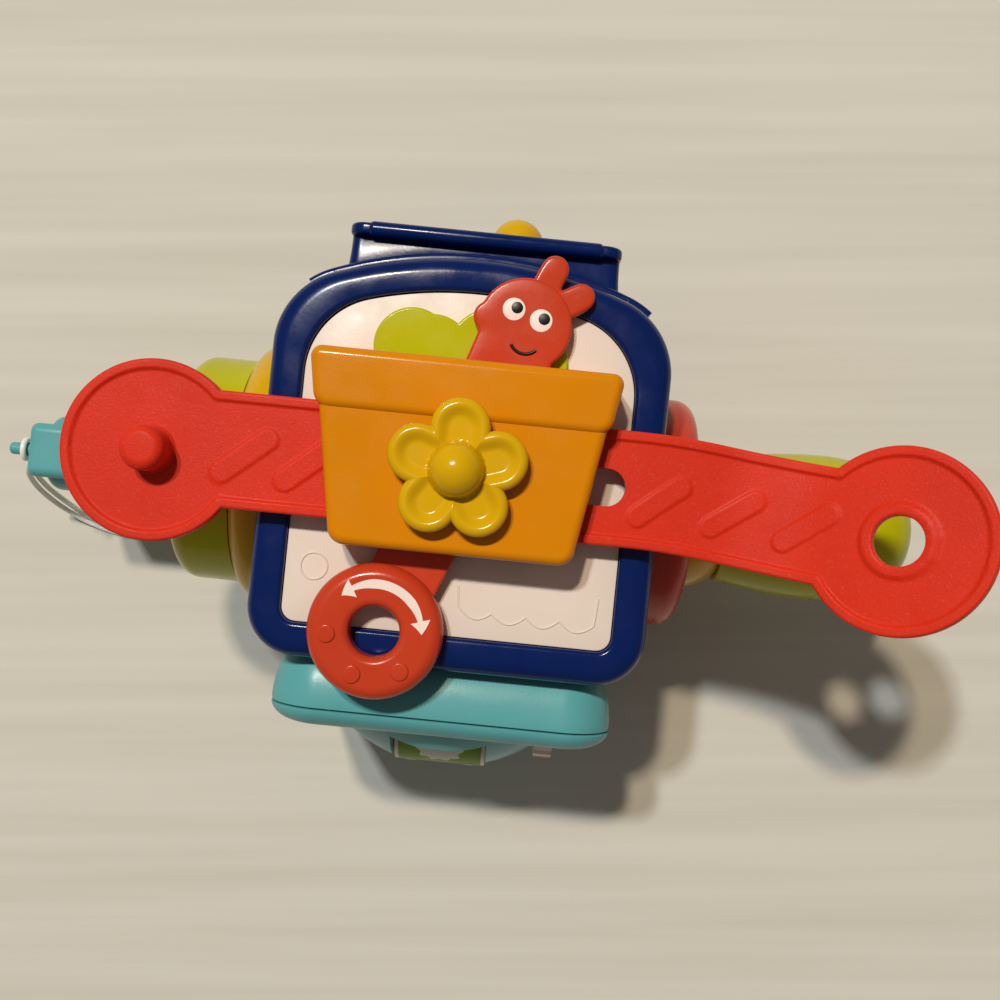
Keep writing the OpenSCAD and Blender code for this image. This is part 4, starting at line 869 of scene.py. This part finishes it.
@dataclass
class SoftStrap:
    """Soft strap with a peg at one end and a holed disc at the other.

    Attributes:
        floor: height of its lower face.
        web: thickness of the web.
        bead: height of the raised edge.
        half: half-width of the band.
        disc: radius of both end discs.
        peg: place of the peg's disc.
        far: distance along the strap to the holed disc.
        slot: ends along the strap and half-width of the slot for the post.
        hole: radius of the hole, and of its collar's middle line.
        level: distance along the strap to its first bend.
        sideways: radius and degrees of the bend sideways.
        upwards: radius and degrees of the rise after it.
        pills: place, lean in degrees, length and width of the low raised pills.
    """

    floor: float = 121.0
    web: float = 2.4
    bead: float = 0.9
    half: float = 17.0
    disc: float = 26.5
    peg: tuple[float, float] = (-89.5, -2.2)
    far: float = 128.42
    slot: tuple[float, float, float] = (-8.5, 43.0, 5.5)
    hole: tuple[float, float] = (7.1, 8.8)
    level: float = 50.0
    sideways: tuple[float, float] = (200.0, 7.0)
    upwards: tuple[float, float] = (63.0, 30.0)
    pills: tuple = ((-62.5, -1.4, 40, 23.5, 7), (-43.8, -2.0, 40, 23.5, 7), (58.5, -2.6, 41, 22, 6.7),
                    (80.6, -2.0, 41, 22, 6.7), (102.4, -1.6, 41, 22, 6.7))

    def bent(self, flat: Array) -> Array:
        """Lays flat points along the strap's line: level, then round the bend sideways, then up the rise.

        Args:
            flat: distance along, offset across and height above the lower face.

        Returns:
            Points in the row's frame.
        """
        s, w, h = flat.T
        (wide, turn), (tall, rise) = self.sideways, self.upwards
        turn, rise = math.radians(turn), math.radians(rise)
        past = s - self.level
        a = np.clip(past / wide, 0, turn)
        b = np.clip((past - wide * turn) / tall, 0, rise)
        start, tail = np.minimum(s, self.level), np.maximum(past - wide * turn - tall * rise, 0)
        out = (tall - h) * np.sin(b) + tail * np.cos(b)
        x = start + (wide + w) * np.sin(a) + out * np.cos(a)
        y = -wide + (wide + w) * np.cos(a) - out * np.sin(a)
        z = self.floor + tall - (tall - h) * np.cos(b) + tail * np.sin(b)
        return np.column_stack([x, y, z])

    def depth(self, s: Array, w: Array) -> Array:
        """How far a point lies inside the strap's outline: the most of the band's and both discs' depths."""
        band = np.where((s > self.peg[0]) & (s < self.far), self.half - np.abs(w), -9.0)
        near = self.disc - np.hypot(s - self.peg[0], w - self.peg[1])
        end = self.disc - np.hypot(s - self.far, w)
        return np.maximum(np.maximum(band, near), end)

    def height(self, s: Array, w: Array) -> Array:
        """Height of the upper face: web, raised edge with a rounded rim, collar round the hole, and pills."""
        d = self.depth(s, w)
        high = self.web + self.bead * (1 - smooth((d - 2.6) / 0.8))
        collar = np.abs(np.hypot(s - self.far, w) - self.hole[1])
        high = high + self.bead * (1 - smooth((collar - 1.3) / 0.8)) * (d > 3)
        for x, y, lean, length, width in self.pills:
            u = np.array([math.cos(math.radians(lean)), math.sin(math.radians(lean))])
            along = (s - x) * u[0] + (w - y) * u[1]
            off = -(s - x) * u[1] + (w - y) * u[0]
            far = np.hypot(np.maximum(np.abs(along) - (length - width) / 2, 0), off)
            high = high + 0.5 * (1 - smooth((far - width / 2 + 0.5) / 0.5))
        edge = np.clip(d, 0, 0.8)
        return high - 0.8 + np.sqrt(np.maximum(0.64 - (0.8 - edge) ** 2, 0))

    def band(self) -> Obj:
        """Strap's upper and lower faces over the same grid, cut for the post and the hole, then bent."""
        turn = np.linspace(math.pi, 0, 64)
        left = self.peg[0] + self.disc * np.cos(turn[:33])
        right = self.far + self.disc * np.cos(turn[31:])
        s = np.unique(np.round(np.concatenate([left, right, np.linspace(self.peg[0], self.far, 420)]), 4))
        wide = np.sqrt(np.maximum(self.disc ** 2 - (s - self.peg[0]) ** 2, 0))
        end = np.sqrt(np.maximum(self.disc ** 2 - (s - self.far) ** 2, 0))
        on_band = (s >= self.peg[0]) & (s <= self.far)
        flat_half = np.where(on_band, self.half, 0.0)
        upper = np.maximum(np.maximum(np.where(wide > 0, wide + self.peg[1], -99), end), flat_half)
        lower = np.minimum(np.minimum(np.where(wide > 0, self.peg[1] - wide, 99), -end), -flat_half)
        upper[0] = lower[0] = self.peg[1]
        upper[-1] = lower[-1] = 0.0
        v = (1 - np.cos(np.linspace(0, math.pi, 96))) / 2
        v = 0.45 * v + 0.55 * np.linspace(0, 1, 96)
        w = lower[:, None] + (upper - lower)[:, None] * v[None]
        along = np.broadcast_to(s[:, None], w.shape)
        top = np.stack([along, w, self.height(along, w)], axis=-1)
        floor = np.stack([along, w, np.zeros_like(w)], axis=-1)[:, ::-1]
        skin = Patch(np.concatenate([top, floor], axis=1))
        obj = piece("strap_band", SILICONE, skin, sharp=60)
        start, stop, r = self.slot
        slot = piece("slot", None, *prism(capsule((start, 0), (stop, 0), r), -3, 9))
        hole = piece("hole", None, *prism(circle(self.far, 0, self.hole[0]), -3, 9))
        combine(obj, [], [slot, hole], sharp=50)
        flat = np.empty(len(obj.data.vertices) * 3)
        obj.data.vertices.foreach_get("co", flat)
        obj.data.vertices.foreach_set("co", (self.bent(flat.reshape(-1, 3) / MM) * MM).ravel())
        obj.data.update()
        return obj

    def peg_knob(self) -> Obj:
        """Round peg with a small flare at its foot and a domed head."""
        corners = [(2.0, 7.4, 0), (2.4, 7.2, 0.2), (3.2, 6.4, 1.0), (13.4, 6.4, 2.8), (13.4, 0, 0)]
        path = np.concatenate([[[2.0, 0.0]], rounded(corners, steps=14)])
        return piece("strap_peg", SILICONE, lathe(path, (*self.peg, self.floor), UP, 96), sharp=60)

    def build(self) -> None:
        """Makes the strap and dresses it."""
        dress(self.band(), Body.STRAP, Slot.SILICONE, "strap")
        dress(self.peg_knob(), Body.STRAP, Slot.SILICONE)


@dataclass
class PullPlug:
    """Teal plug with its block and rod, and the doubled cord that ties it to the cube.

    Attributes:
        knots: points that the cord's middle line passes through, from the plug to the wall.
        thick: thickness of a strand.
        apart: distance between the strands' middle lines.
        lay: length of one twist of a strand.
        guide: a direction that the cord never runs along.
        axis: place of the plug's axis along Y and Z.
    """

    knots: tuple = ((-153, -4.2, 53.8), (-156, -6, 48.5), (-160.5, -11, 37), (-161, -17, 23), (-157.5, -23, 9.5),
                    (-150, -28, 2.5), (-140, -31, 1.2), (-128, -32, 1.2), (-114, -30, 1.2), (-100, -25, 1.2),
                    (-86, -20, 1.2), (-74, -17, 3), (-63.6, -17, 8))
    thick: float = 2.0
    apart: float = 2.6
    lay: float = 2.6
    guide: tuple[float, float, float] = (0.3, 1.0, 0.6)
    axis: tuple[float, float] = (-4.2, 59.0)

    def route(self, side: float, steps: int = 56) -> Array:
        """Middle line of one strand: a Catmull-Rom curve through the knots, moved sideways by half the gap.

        Args:
            side: 1 or -1 for the two strands.
            steps: points between two knots.

        Returns:
            Points from the wall to the plug.
        """
        k = np.asarray(self.knots, float)[::-1]
        k = np.concatenate([k[:1], k, k[-1:]])
        t = np.linspace(0, 1, steps, endpoint=False)[None, :, None]
        a, b, c, d = (k[i:len(k) - 3 + i, None] for i in range(4))
        line = 0.5 * (2 * b + (c - a) * t + (2 * a - 5 * b + 4 * c - d) * t ** 2
                      + (3 * b - a - 3 * c + d) * t ** 3)
        line = np.concatenate([line.reshape(-1, 3), k[-1:]])
        ahead = normed(np.gradient(line, axis=0))
        level = normed(np.cross(ahead, self.guide))
        return line + side * self.apart / 2 * np.cross(ahead, level)

    def strand(self, name: str, side: float, node: str) -> None:
        """Makes one twisted strand: its radius swells three times round, and the swells wind along it.

        Args:
            name: the piece's name.
            side: which side of the cord's middle line it runs on.
            node: the solid that it replaces.
        """
        path = self.route(side)
        run = run_of(path)
        t = turns(20)
        swell = np.abs(np.cos(1.5 * (t[None] - TAU * run[:, None] / self.lay)))
        radius = self.thick / 2 * (0.80 + 0.24 * swell)
        obj = piece(name, CORD, *tube(path, radius, self.guide, 20), sharp=70)
        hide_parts(node)
        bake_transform(obj)

    def plug(self) -> Obj:
        """Plug: stem, barrel and rod as one turned profile, with a rounded block across the barrel's end."""
        path = rounded([(65.5, 0, 0), (65.5, 10.9, 0.8), (96.5, 10.9, 0), (96.5, 12.8, 0.8), (143, 12.8, 4),
                        (143, 2.1, 0), (158.5, 2.1, 1.2), (158.5, 0, 0)], steps=9)
        turned = lathe(path, (0, *self.axis), (-1, 0, 0), 96)
        ring = even(box_ring(9, -14, 14, 3, 10), 240)
        flat = plate(ring, 130, 147, 2.4, 0.8, 9).grid
        block_end = np.stack([-flat[..., 2], flat[..., 0] + self.axis[0], flat[..., 1] + self.axis[1]], axis=-1)
        return piece("plug_body", TEAL, turned, Patch(block_end))

    def build(self) -> None:
        """Makes the plug and both strands and dresses them."""
        self.strand("cord_strand_a", 1.0, "tether_strand_a")
        self.strand("cord_strand_b", -1.0, "tether_strand_b")
        dress(self.plug(), Body.PLUG, Slot.TEAL, "pull_plug")


@dataclass
class RollerCase:
    """Two teal shells with a domed boss, and the picture drum behind the boss's window.

    Attributes:
        face: place of the core's front face along Y.
        axis: height of the drum's axis.
        half_wide: half-width of the shells.
        half_tall: half-height of the shells.
        corner: radius of the shells' corners.
        parting: distance out to the parting line.
        out: distance out to the flat front.
        drum: radius of the picture drum.
        drum_out: distance out to the drum's axis.
        boss: radius of the boss's sphere.
        boss_out: distance out to its centre.
        window: half-width of the picture window.
    """

    face: float = -57.7
    axis: float = 58.0
    half_wide: float = 53.5
    half_tall: float = 50.0
    corner: float = 16.0
    parting: float = 17.5
    out: float = 23.6
    drum: float = 19.2
    drum_out: float = 20.4
    boss: float = 52.0
    boss_out: float = -11.7
    window: float = 15.6

    def placed(self, patches: Sequence[Patch]) -> list[Patch]:
        """Turns patches from across, up and out into the row's frame."""
        made = []
        for p in patches:
            x, up, out = np.moveaxis(p.grid, -1, 0)
            grid = np.stack([x, self.face - out, self.axis + up], axis=-1)
            made.append(Patch(grid, p.wrap_rows, p.wrap_cols))
        return made

    def ring(self, inset: float = 0.0, corner: Optional[float] = None) -> Array:
        """Rounded rectangle of the shells, set in on every side."""
        w, t, r = self.half_wide - inset, self.half_tall - inset, self.corner if corner is None else corner
        return box_ring(w, -t, t, r, 24)

    def half_shell(self, name: str, depth: float, soft: float) -> Obj:
        """Half of the case: the outline moved in by soft (1 - cos a) at depth sin a from the parting."""
        ring = self.ring()
        a = np.linspace(0, QUARTER, 18)
        way = math.copysign(1.0, depth)
        inset = np.concatenate([[0.55, 0.16], soft * (1 - np.cos(a[1:]))])
        out = self.parting + np.concatenate([[way * 0.15, way * 0.4], depth * np.sin(a[1:])])
        walls = ring[None] - inset[:, None, None] * outward(ring)[None]
        grid = lift(walls, out[:, None])
        return piece(name, TEAL, *self.placed(capped(grid)))

    def ball(self, radius: float, start: float) -> Patch:
        """Cap of the boss's sphere, from a distance out to its tip."""
        tip = radius + self.boss_out
        d = start + (tip - start) * np.sin(np.linspace(0, QUARTER, 40))
        r = np.sqrt(np.maximum(radius ** 2 - (d - self.boss_out) ** 2, 0))
        path = np.concatenate([[[start, 0.0]], np.column_stack([d, r])])
        return lathe(path, (0, self.face, self.axis), (0, -1, 0), 160)

    def cuts(self, *shapes: Sequence[Patch]) -> list[Obj]:
        """Makes cutters from shapes given across, up and out, with the room under the frame's overhang."""
        made = [piece(f"cut{i}", None, *self.placed(s)) for i, s in enumerate(shapes)]
        return made + [piece("overhang", None, *block((-70, -59.5, 103.7), (70, -40, 130)))]

    def rear(self) -> Obj:
        """Rear shell, hollow and open behind the drum and the wheel."""
        obj = self.half_shell("case_rear_shell", -self.parting, 7.0)
        room = prism(self.ring(10.0, 3.0), 3.0, 20.0)
        slots = block((-16.7, -12, -2), (19, 12, 6)), block((30, -12, -2), (39, 12, 6))
        return combine(obj, [], self.cuts(room, *slots))

    def front(self) -> Obj:
        """Front shell fused with its boss, hollow, with the picture window and the wheel's slot."""
        obj = self.half_shell("case_front_shell", self.out - self.parting, 10.0)
        boss = piece("boss", TEAL, self.ball(self.boss, self.parting + 0.2))
        w = self.window
        room = self.cuts(prism(self.ring(13.0, 3.0), 10.0, self.out - 3),
                         prism(box_ring(w, -21, 21, 2), 12.0, 50.0),
                         block((-w, 0, self.out + 1.6), (w, 31, 50)), block((31, -16, 12), (38, 16, 50)))
        turn = np.array([[-16.4, 0], [-16.4, self.drum + 0.8], [18.6, self.drum + 0.8], [18.6, 0]])
        drum = lathe(turn, (0, self.face - self.drum_out, self.axis), (1, 0, 0), 128)
        return combine(obj, [boss], [piece("drum_room", None, drum)] + room)

    def on_drum(self, ring: Array, middle: float, low: float, high: float, name: str,
                finish: Finish) -> Obj:
        """Lays a flat print on the drum: across stays X, and up becomes an angle about the drum's axis."""
        flat = plate(even(ring, 180), low, high, 0.06, 0.05, 3)
        r, t = self.drum + flat.grid[..., 2], math.radians(middle) + flat.grid[..., 1] / self.drum
        y, z = self.face - self.drum_out - r * np.cos(t), self.axis + r * np.sin(t)
        grid = np.stack([flat.grid[..., 0], y, z], axis=-1)
        return piece(name, finish, Patch(grid), sharp=70)

    def pictures(self) -> list[Obj]:
        """Three green labels round the drum, each with a cream scalloped sun and two dots."""
        made = []
        label = box_ring(13.9, -18.2, 18.2, 1)
        t = turns(160)
        sun = [0, 3.0] + (7.4 + 0.7 * np.cos(10 * t))[:, None] * unit(t)
        shapes = [sun, circle(-9.8, -9.0, 2.0), circle(9.8, -9.0, 2.0)]
        for i, middle in enumerate((42, 162, 282)):
            made.append(self.on_drum(label, middle, -0.1, 0.14, f"label_{i}", PRINT_GREEN))
            made += [self.on_drum(s, middle, 0.0, 0.26, f"motif_{i}_{j}", PRINT_CREAM)
                     for j, s in enumerate(shapes)]
        return made

    def build(self) -> None:
        """Makes the case and the prints and dresses them."""
        dress(self.rear(), Body.CUBE, Slot.TEAL, "case_rear")
        dress(self.front(), Body.CUBE, Slot.TEAL, "case_front")
        for obj in self.pictures():
            dress(obj, Body.ROLLER, Slot.WHITE)


@dataclass
class BackSlider:
    """Navy housing on the arched back: saddle, neck, slotted flange and its ridge.

    Attributes:
        half: half-width of the flange.
        inner: place of the flange's inner face along Y.
        outer: place of its outer face.
        slot: height of the slider's slot.
        slot_ends: places along X of the centres of its round ends.
        slot_r: half-height of the slot.
        ridge: half-length and radius of the ridge.
        proud: how far the saddle stands out from the arch.
        arch: place along Y of the centre of the core's arched back, and its radius.
        bend: distance out and along Y to the centre of the core's shoulder, and its radius.
        seam: distance out to where the two meet.
    """

    half: float = 42.7
    inner: float = 72.0
    outer: float = 75.7
    slot: float = 81.0
    slot_ends: tuple[float, float] = (-24.6, 25.4)
    slot_r: float = 2.85
    ridge: tuple[float, float] = (36.7, 2.4)
    proud: float = 3.9
    arch: tuple[float, float] = (-31.18, 93.8)
    bend: tuple[float, float, float] = (22.0, 21.4, 36.8)
    seam: float = 36.2

    def saddle(self) -> tuple[Patch, ...]:
        """Saddle: a rounded section of inset and height carried along the arch's outline."""
        arcs = np.array([[36, 33.97, 24, 51.8, 69.12], [0, -60.4, 125, 69.12, 110.88],
                         [-36, 33.97, 24, 110.88, 128.2]])
        t = np.radians(arcs[:, 3:4] + (arcs[:, 4:5] - arcs[:, 3:4]) * np.linspace(0, 1, 25))
        normal = unit(t)
        points = (arcs[:, None, :2] + arcs[:, None, 2:3] * normal).reshape(-1, 2)
        keep = fresh(points)
        points, normal = points[keep], normal.reshape(-1, 2)[keep]
        path = rounded([(-self.proud, 20, 1.4), (-self.proud, 102.7, 1.4), (8, 102.7, 0.2), (8, 20, 0.2)],
                       closed=True)
        flat = points[:, None] - path[None, :, :1] * normal[:, None]
        return capped(lift(flat, path[:, 1]))

    def neck(self) -> Patch:
        """Neck: a rounded tube from arch to flange that widens towards the arch by the square of the way."""
        w = self.half - 0.4
        ring = even(box_ring(w, 26, 96, 3, 12), 360)
        near = (1 - np.linspace(0, 1, 14)[:, None]) ** 2
        (mid, radius), (out, along, round_r) = self.arch, self.bend
        rings = []
        for skin in (ring, ring - 3.0 * outward(ring)):
            x, z = skin[:, 0], skin[:, 1]
            crown = mid + np.sqrt(radius ** 2 - x ** 2)
            side = along + np.sqrt(np.maximum(round_r ** 2 - np.maximum(np.abs(x) - out, 0) ** 2, 0))
            start = np.where(np.abs(x) < self.seam, crown, side)
            y = start + (self.inner + 0.4 - start) * (1 - np.sqrt(near))
            wide, tall = x * (1 + 0.05 * near), z + 3.0 * near * (z > 61)
            rings.append(np.stack([wide, y, tall], axis=-1))
        return Patch(np.concatenate([rings[0], rings[1][::-1]]), True, True)

    def flange(self) -> Patch:
        """Flange: a plate between its outline and the slot, both met along rays from the slot's middle."""
        w, heart = self.half, np.array([0.4, self.slot])
        outer = even(box_ring(w, 22, 100, 5, 16), 900)
        away = outer - heart
        left, right = ((x, self.slot) for x in self.slot_ends)
        slot = even(capsule(left, right, self.slot_r), 4800) - heart
        turn = np.arctan2(slot[:, 1], slot[:, 0])
        order = np.argsort(turn)
        lean = np.arctan2(away[:, 1], away[:, 0])
        reach = np.interp(lean, turn[order], np.linalg.norm(slot, axis=1)[order], period=TAU)
        inner = heart + reach[:, None] * unit(lean)
        normal, a, soft = outward(outer), np.linspace(0, QUARTER, 7), 1.2
        roll = soft * (1 - np.sin(a))
        share = np.array([0.0, 0.02, 0.3, 0.7, 0.97])[:, None, None]
        edge = outer - soft * normal
        face = inner + share * (edge - inner)
        bend = outer - roll[:, None, None] * normal
        flat = np.concatenate([face, bend, bend[::-1], face[::-1]])
        rise = soft * (1 - np.cos(a))
        y = np.concatenate([np.full(5, self.outer), self.outer - rise,
                            self.inner + rise[::-1], np.full(5, self.inner)])
        grid = np.stack([flat[..., 0], np.broadcast_to(y[:, None], flat.shape[:2]), flat[..., 1]], axis=-1)
        return Patch(grid, True, True)

    def shell(self) -> Obj:
        """Housing made of its four closed forms."""
        x, r = self.ridge
        bar = rounded([(-x, 0, 0), (-x, r, 1.6), (x, r, 1.6), (x, 0, 0)])
        ridge = lathe(bar, (0, self.inner + 1.9, 98.5), (1, 0, 0), 64)
        return piece("housing_shell", NAVY, *self.saddle(), self.neck(), self.flange(), ridge)

    def build(self) -> None:
        """Makes the housing and dresses it."""
        dress(self.shell(), Body.CUBE, Slot.NAVY, "back_housing")


@dataclass
class StickKnob:
    """Lime knob of the tilting stick: two halves that meet at a fine groove, with a screw's recess in the tip.

    Attributes:
        ball: centre of the dome that the knob's mouth sits on.
        seat: radius of the mouth's hollow.
        mouth: place of the mouth along X, and its radius.
        middle: place of the halves' groove along X, and the knob's radius there.
        tip: length of the front half.
        recess: radius of the screw's recess.
        depth: place of the recess's floor along X.
        power: the p of the front's curve.
    """

    ball: tuple[float, float, float] = (70.0, -4.2, 59.0)
    seat: float = 26.3
    mouth: tuple[float, float] = (87.0, 21.5)
    middle: tuple[float, float] = (121.0, 25.0)
    tip: float = 31.0
    recess: float = 3.2
    depth: float = 142.0
    power: float = 0.7

    def profile(self) -> Array:
        """Half-section of the knob.

        The hollow is a sphere about the ball; the rear swells by the sine of the way from the mouth to the
        groove; the front is r = R cos(t)^p at a distance of L sin(t) from the groove.

        Returns:
            Distance along X from the ball's centre and radius, two columns.
        """
        (x0, r0), (x1, r1) = self.mouth, self.middle
        rim = math.asin(math.sqrt(self.seat ** 2 - (x0 - self.ball[0]) ** 2) / self.seat)
        a = np.linspace(0, rim, 24)
        hollow = self.seat * unit(a)
        t = np.linspace(0.06, QUARTER, 48)
        rear = np.column_stack([x0 + (x1 - 0.25 - x0) * t / QUARTER, r0 + (r1 - r0) * np.sin(t)])
        lip = np.array([[x0, r0 - 0.5], [x0 + 0.25, r0 - 0.05]])
        groove = np.array([[x1 - 0.06, r1 - 0.14], [x1 + 0.06, r1 - 0.14]])
        last = math.acos((self.recess + 0.5) ** (1 / self.power) / r1 ** (1 / self.power))
        t = np.concatenate([[0.008], last * np.sin(np.linspace(0.05, QUARTER, 72))])
        front = np.column_stack([x1 + self.tip * np.sin(t), r1 * np.cos(t) ** self.power])
        end = front[-1, 0]
        pit = np.array([[end - 0.1, self.recess + 0.15], [end - 0.4, self.recess],
                        [self.depth, self.recess], [self.depth, 0]])
        outer = np.concatenate([lip, rear, groove, front, pit]) - [self.ball[0], 0]
        return np.concatenate([hollow, outer])

    def build(self) -> None:
        """Turns the knob and dresses it."""
        knob = piece("knob_shell", LIME, lathe(self.profile(), self.ball, (1, 0, 0), 144))
        dress(knob, Body.STICK, Slot.LIME, "knob_rear", "knob_front")


@dataclass
class Studio:
    """Pale floor, soft light and the camera above the cube.

    Attributes:
        eye: the camera's place in metres.
        roll: its turn about its own line of sight in degrees.
        lens: focal length in millimetres on a 36 mm sensor.
        shift: shift of the picture along its sides.
    """

    eye: tuple[float, float, float] = (0.0176, -0.0132, 0.456)
    roll: float = 5.70
    lens: float = 41.31
    shift: tuple[float, float] = (-0.015, 0.024)

    def camera(self) -> None:
        """Places the camera, looking straight down."""
        data = bpy.data.cameras.new("camera")
        data.lens = self.lens
        data.sensor_width = 36.0
        data.shift_x, data.shift_y = self.shift
        data.clip_start = 0.01
        obj = add("camera", data)
        obj.location = self.eye
        obj.rotation_euler = (0.0, 0.0, math.radians(self.roll))
        bpy.context.scene.camera = obj

    def lamp(self, name: str, way: Sequence[float], far: float, size: float, watts: float,
             tint: tuple[float, float, float]) -> None:
        """Places a square lamp that faces the cube's top."""
        data = bpy.data.lights.new(name, "AREA")
        data.size = size
        data.energy = watts
        data.color = tint
        obj = add(name, data)
        to = np.asarray(way, float) / np.linalg.norm(way)
        obj.location = to * far + np.array([0, 0, 0.06])
        obj.rotation_euler = (0.0, math.acos(to[2]), math.atan2(to[1], to[0]))

    def floor(self) -> None:
        """Lays a pale floor with faint ribs."""
        mesh = bpy.data.meshes.new("floor")
        mesh.from_pydata([(-2, -2, 0), (2, -2, 0), (2, 2, 0), (-2, 2, 0)], [], [(0, 1, 2, 3)])
        mat = bpy.data.materials.new("pale ribbed floor")
        mat.use_nodes = True
        tree = mat.node_tree
        lay = tree.nodes.new("ShaderNodeMapping")
        lay.vector_type = "TEXTURE"
        place = tree.nodes.new("ShaderNodeTexCoord").outputs["Object"]
        lean = (0, 0, math.radians(self.roll))
        feed(tree, lay, {"Rotation": lean, "Scale": (0.5, 0.017, 1.0), "Vector": place})
        ribs = noise(tree, lay.outputs["Vector"], 1.6, 3.0)
        tone = ramp(tree, ribs, (0.30, linear((198, 192, 180))), (0.66, linear((207, 201, 190))))
        feed(tree, tree.nodes["Principled BSDF"], {
            "Base Color": tone, "Roughness": 0.72, "Specular IOR Level": 0.25})
        mesh.materials.append(mat)
        add("floor", mesh)

    def build(self) -> None:
        """Sets the stage."""
        scene = bpy.context.scene
        scene.view_settings.view_transform = "Standard"
        world = scene.world or bpy.data.worlds.new("world")
        scene.world = world
        world.use_nodes = True
        sky = world.node_tree.nodes["Background"]
        sky.inputs["Color"].default_value = (1.0, 0.97, 0.92, 1.0)
        sky.inputs["Strength"].default_value = 0.15
        self.camera()
        self.floor()
        self.lamp("warm_key", (-0.20, 0.44, 1.0), 6.4, 0.30, 216.0, (1.0, 0.87, 0.66))
        self.lamp("cool_key", (-0.32, 0.42, 1.0), 6.4, 0.30, 202.0, (0.87, 0.95, 1.0))


def dress_solids() -> None:
    """Gives every solid that shows as it is the finish of its record slot."""
    for entry in frame["record"]["subparts"]:
        solid = frame["nodes"][entry["node"]]
        finish = FINISH_OF_SLOT[Slot(entry["material_slot"])].material()
        for spot in solid.material_slots:
            spot.material = finish


def main() -> None:
    """Builds the dressed cube and its stage, and notes both boxes."""
    logging.basicConfig(level=logging.INFO, format="%(name)s: %(message)s")
    Studio().build()
    PullPlug().build()
    dress_solids()
    for part in (ArchedBox(), PotAndFlower(), WormLever(), SoftStrap(), RollerCase(), BackSlider(),
                 StickKnob()):
        part.build()


if __name__ == "__main__":
    main()
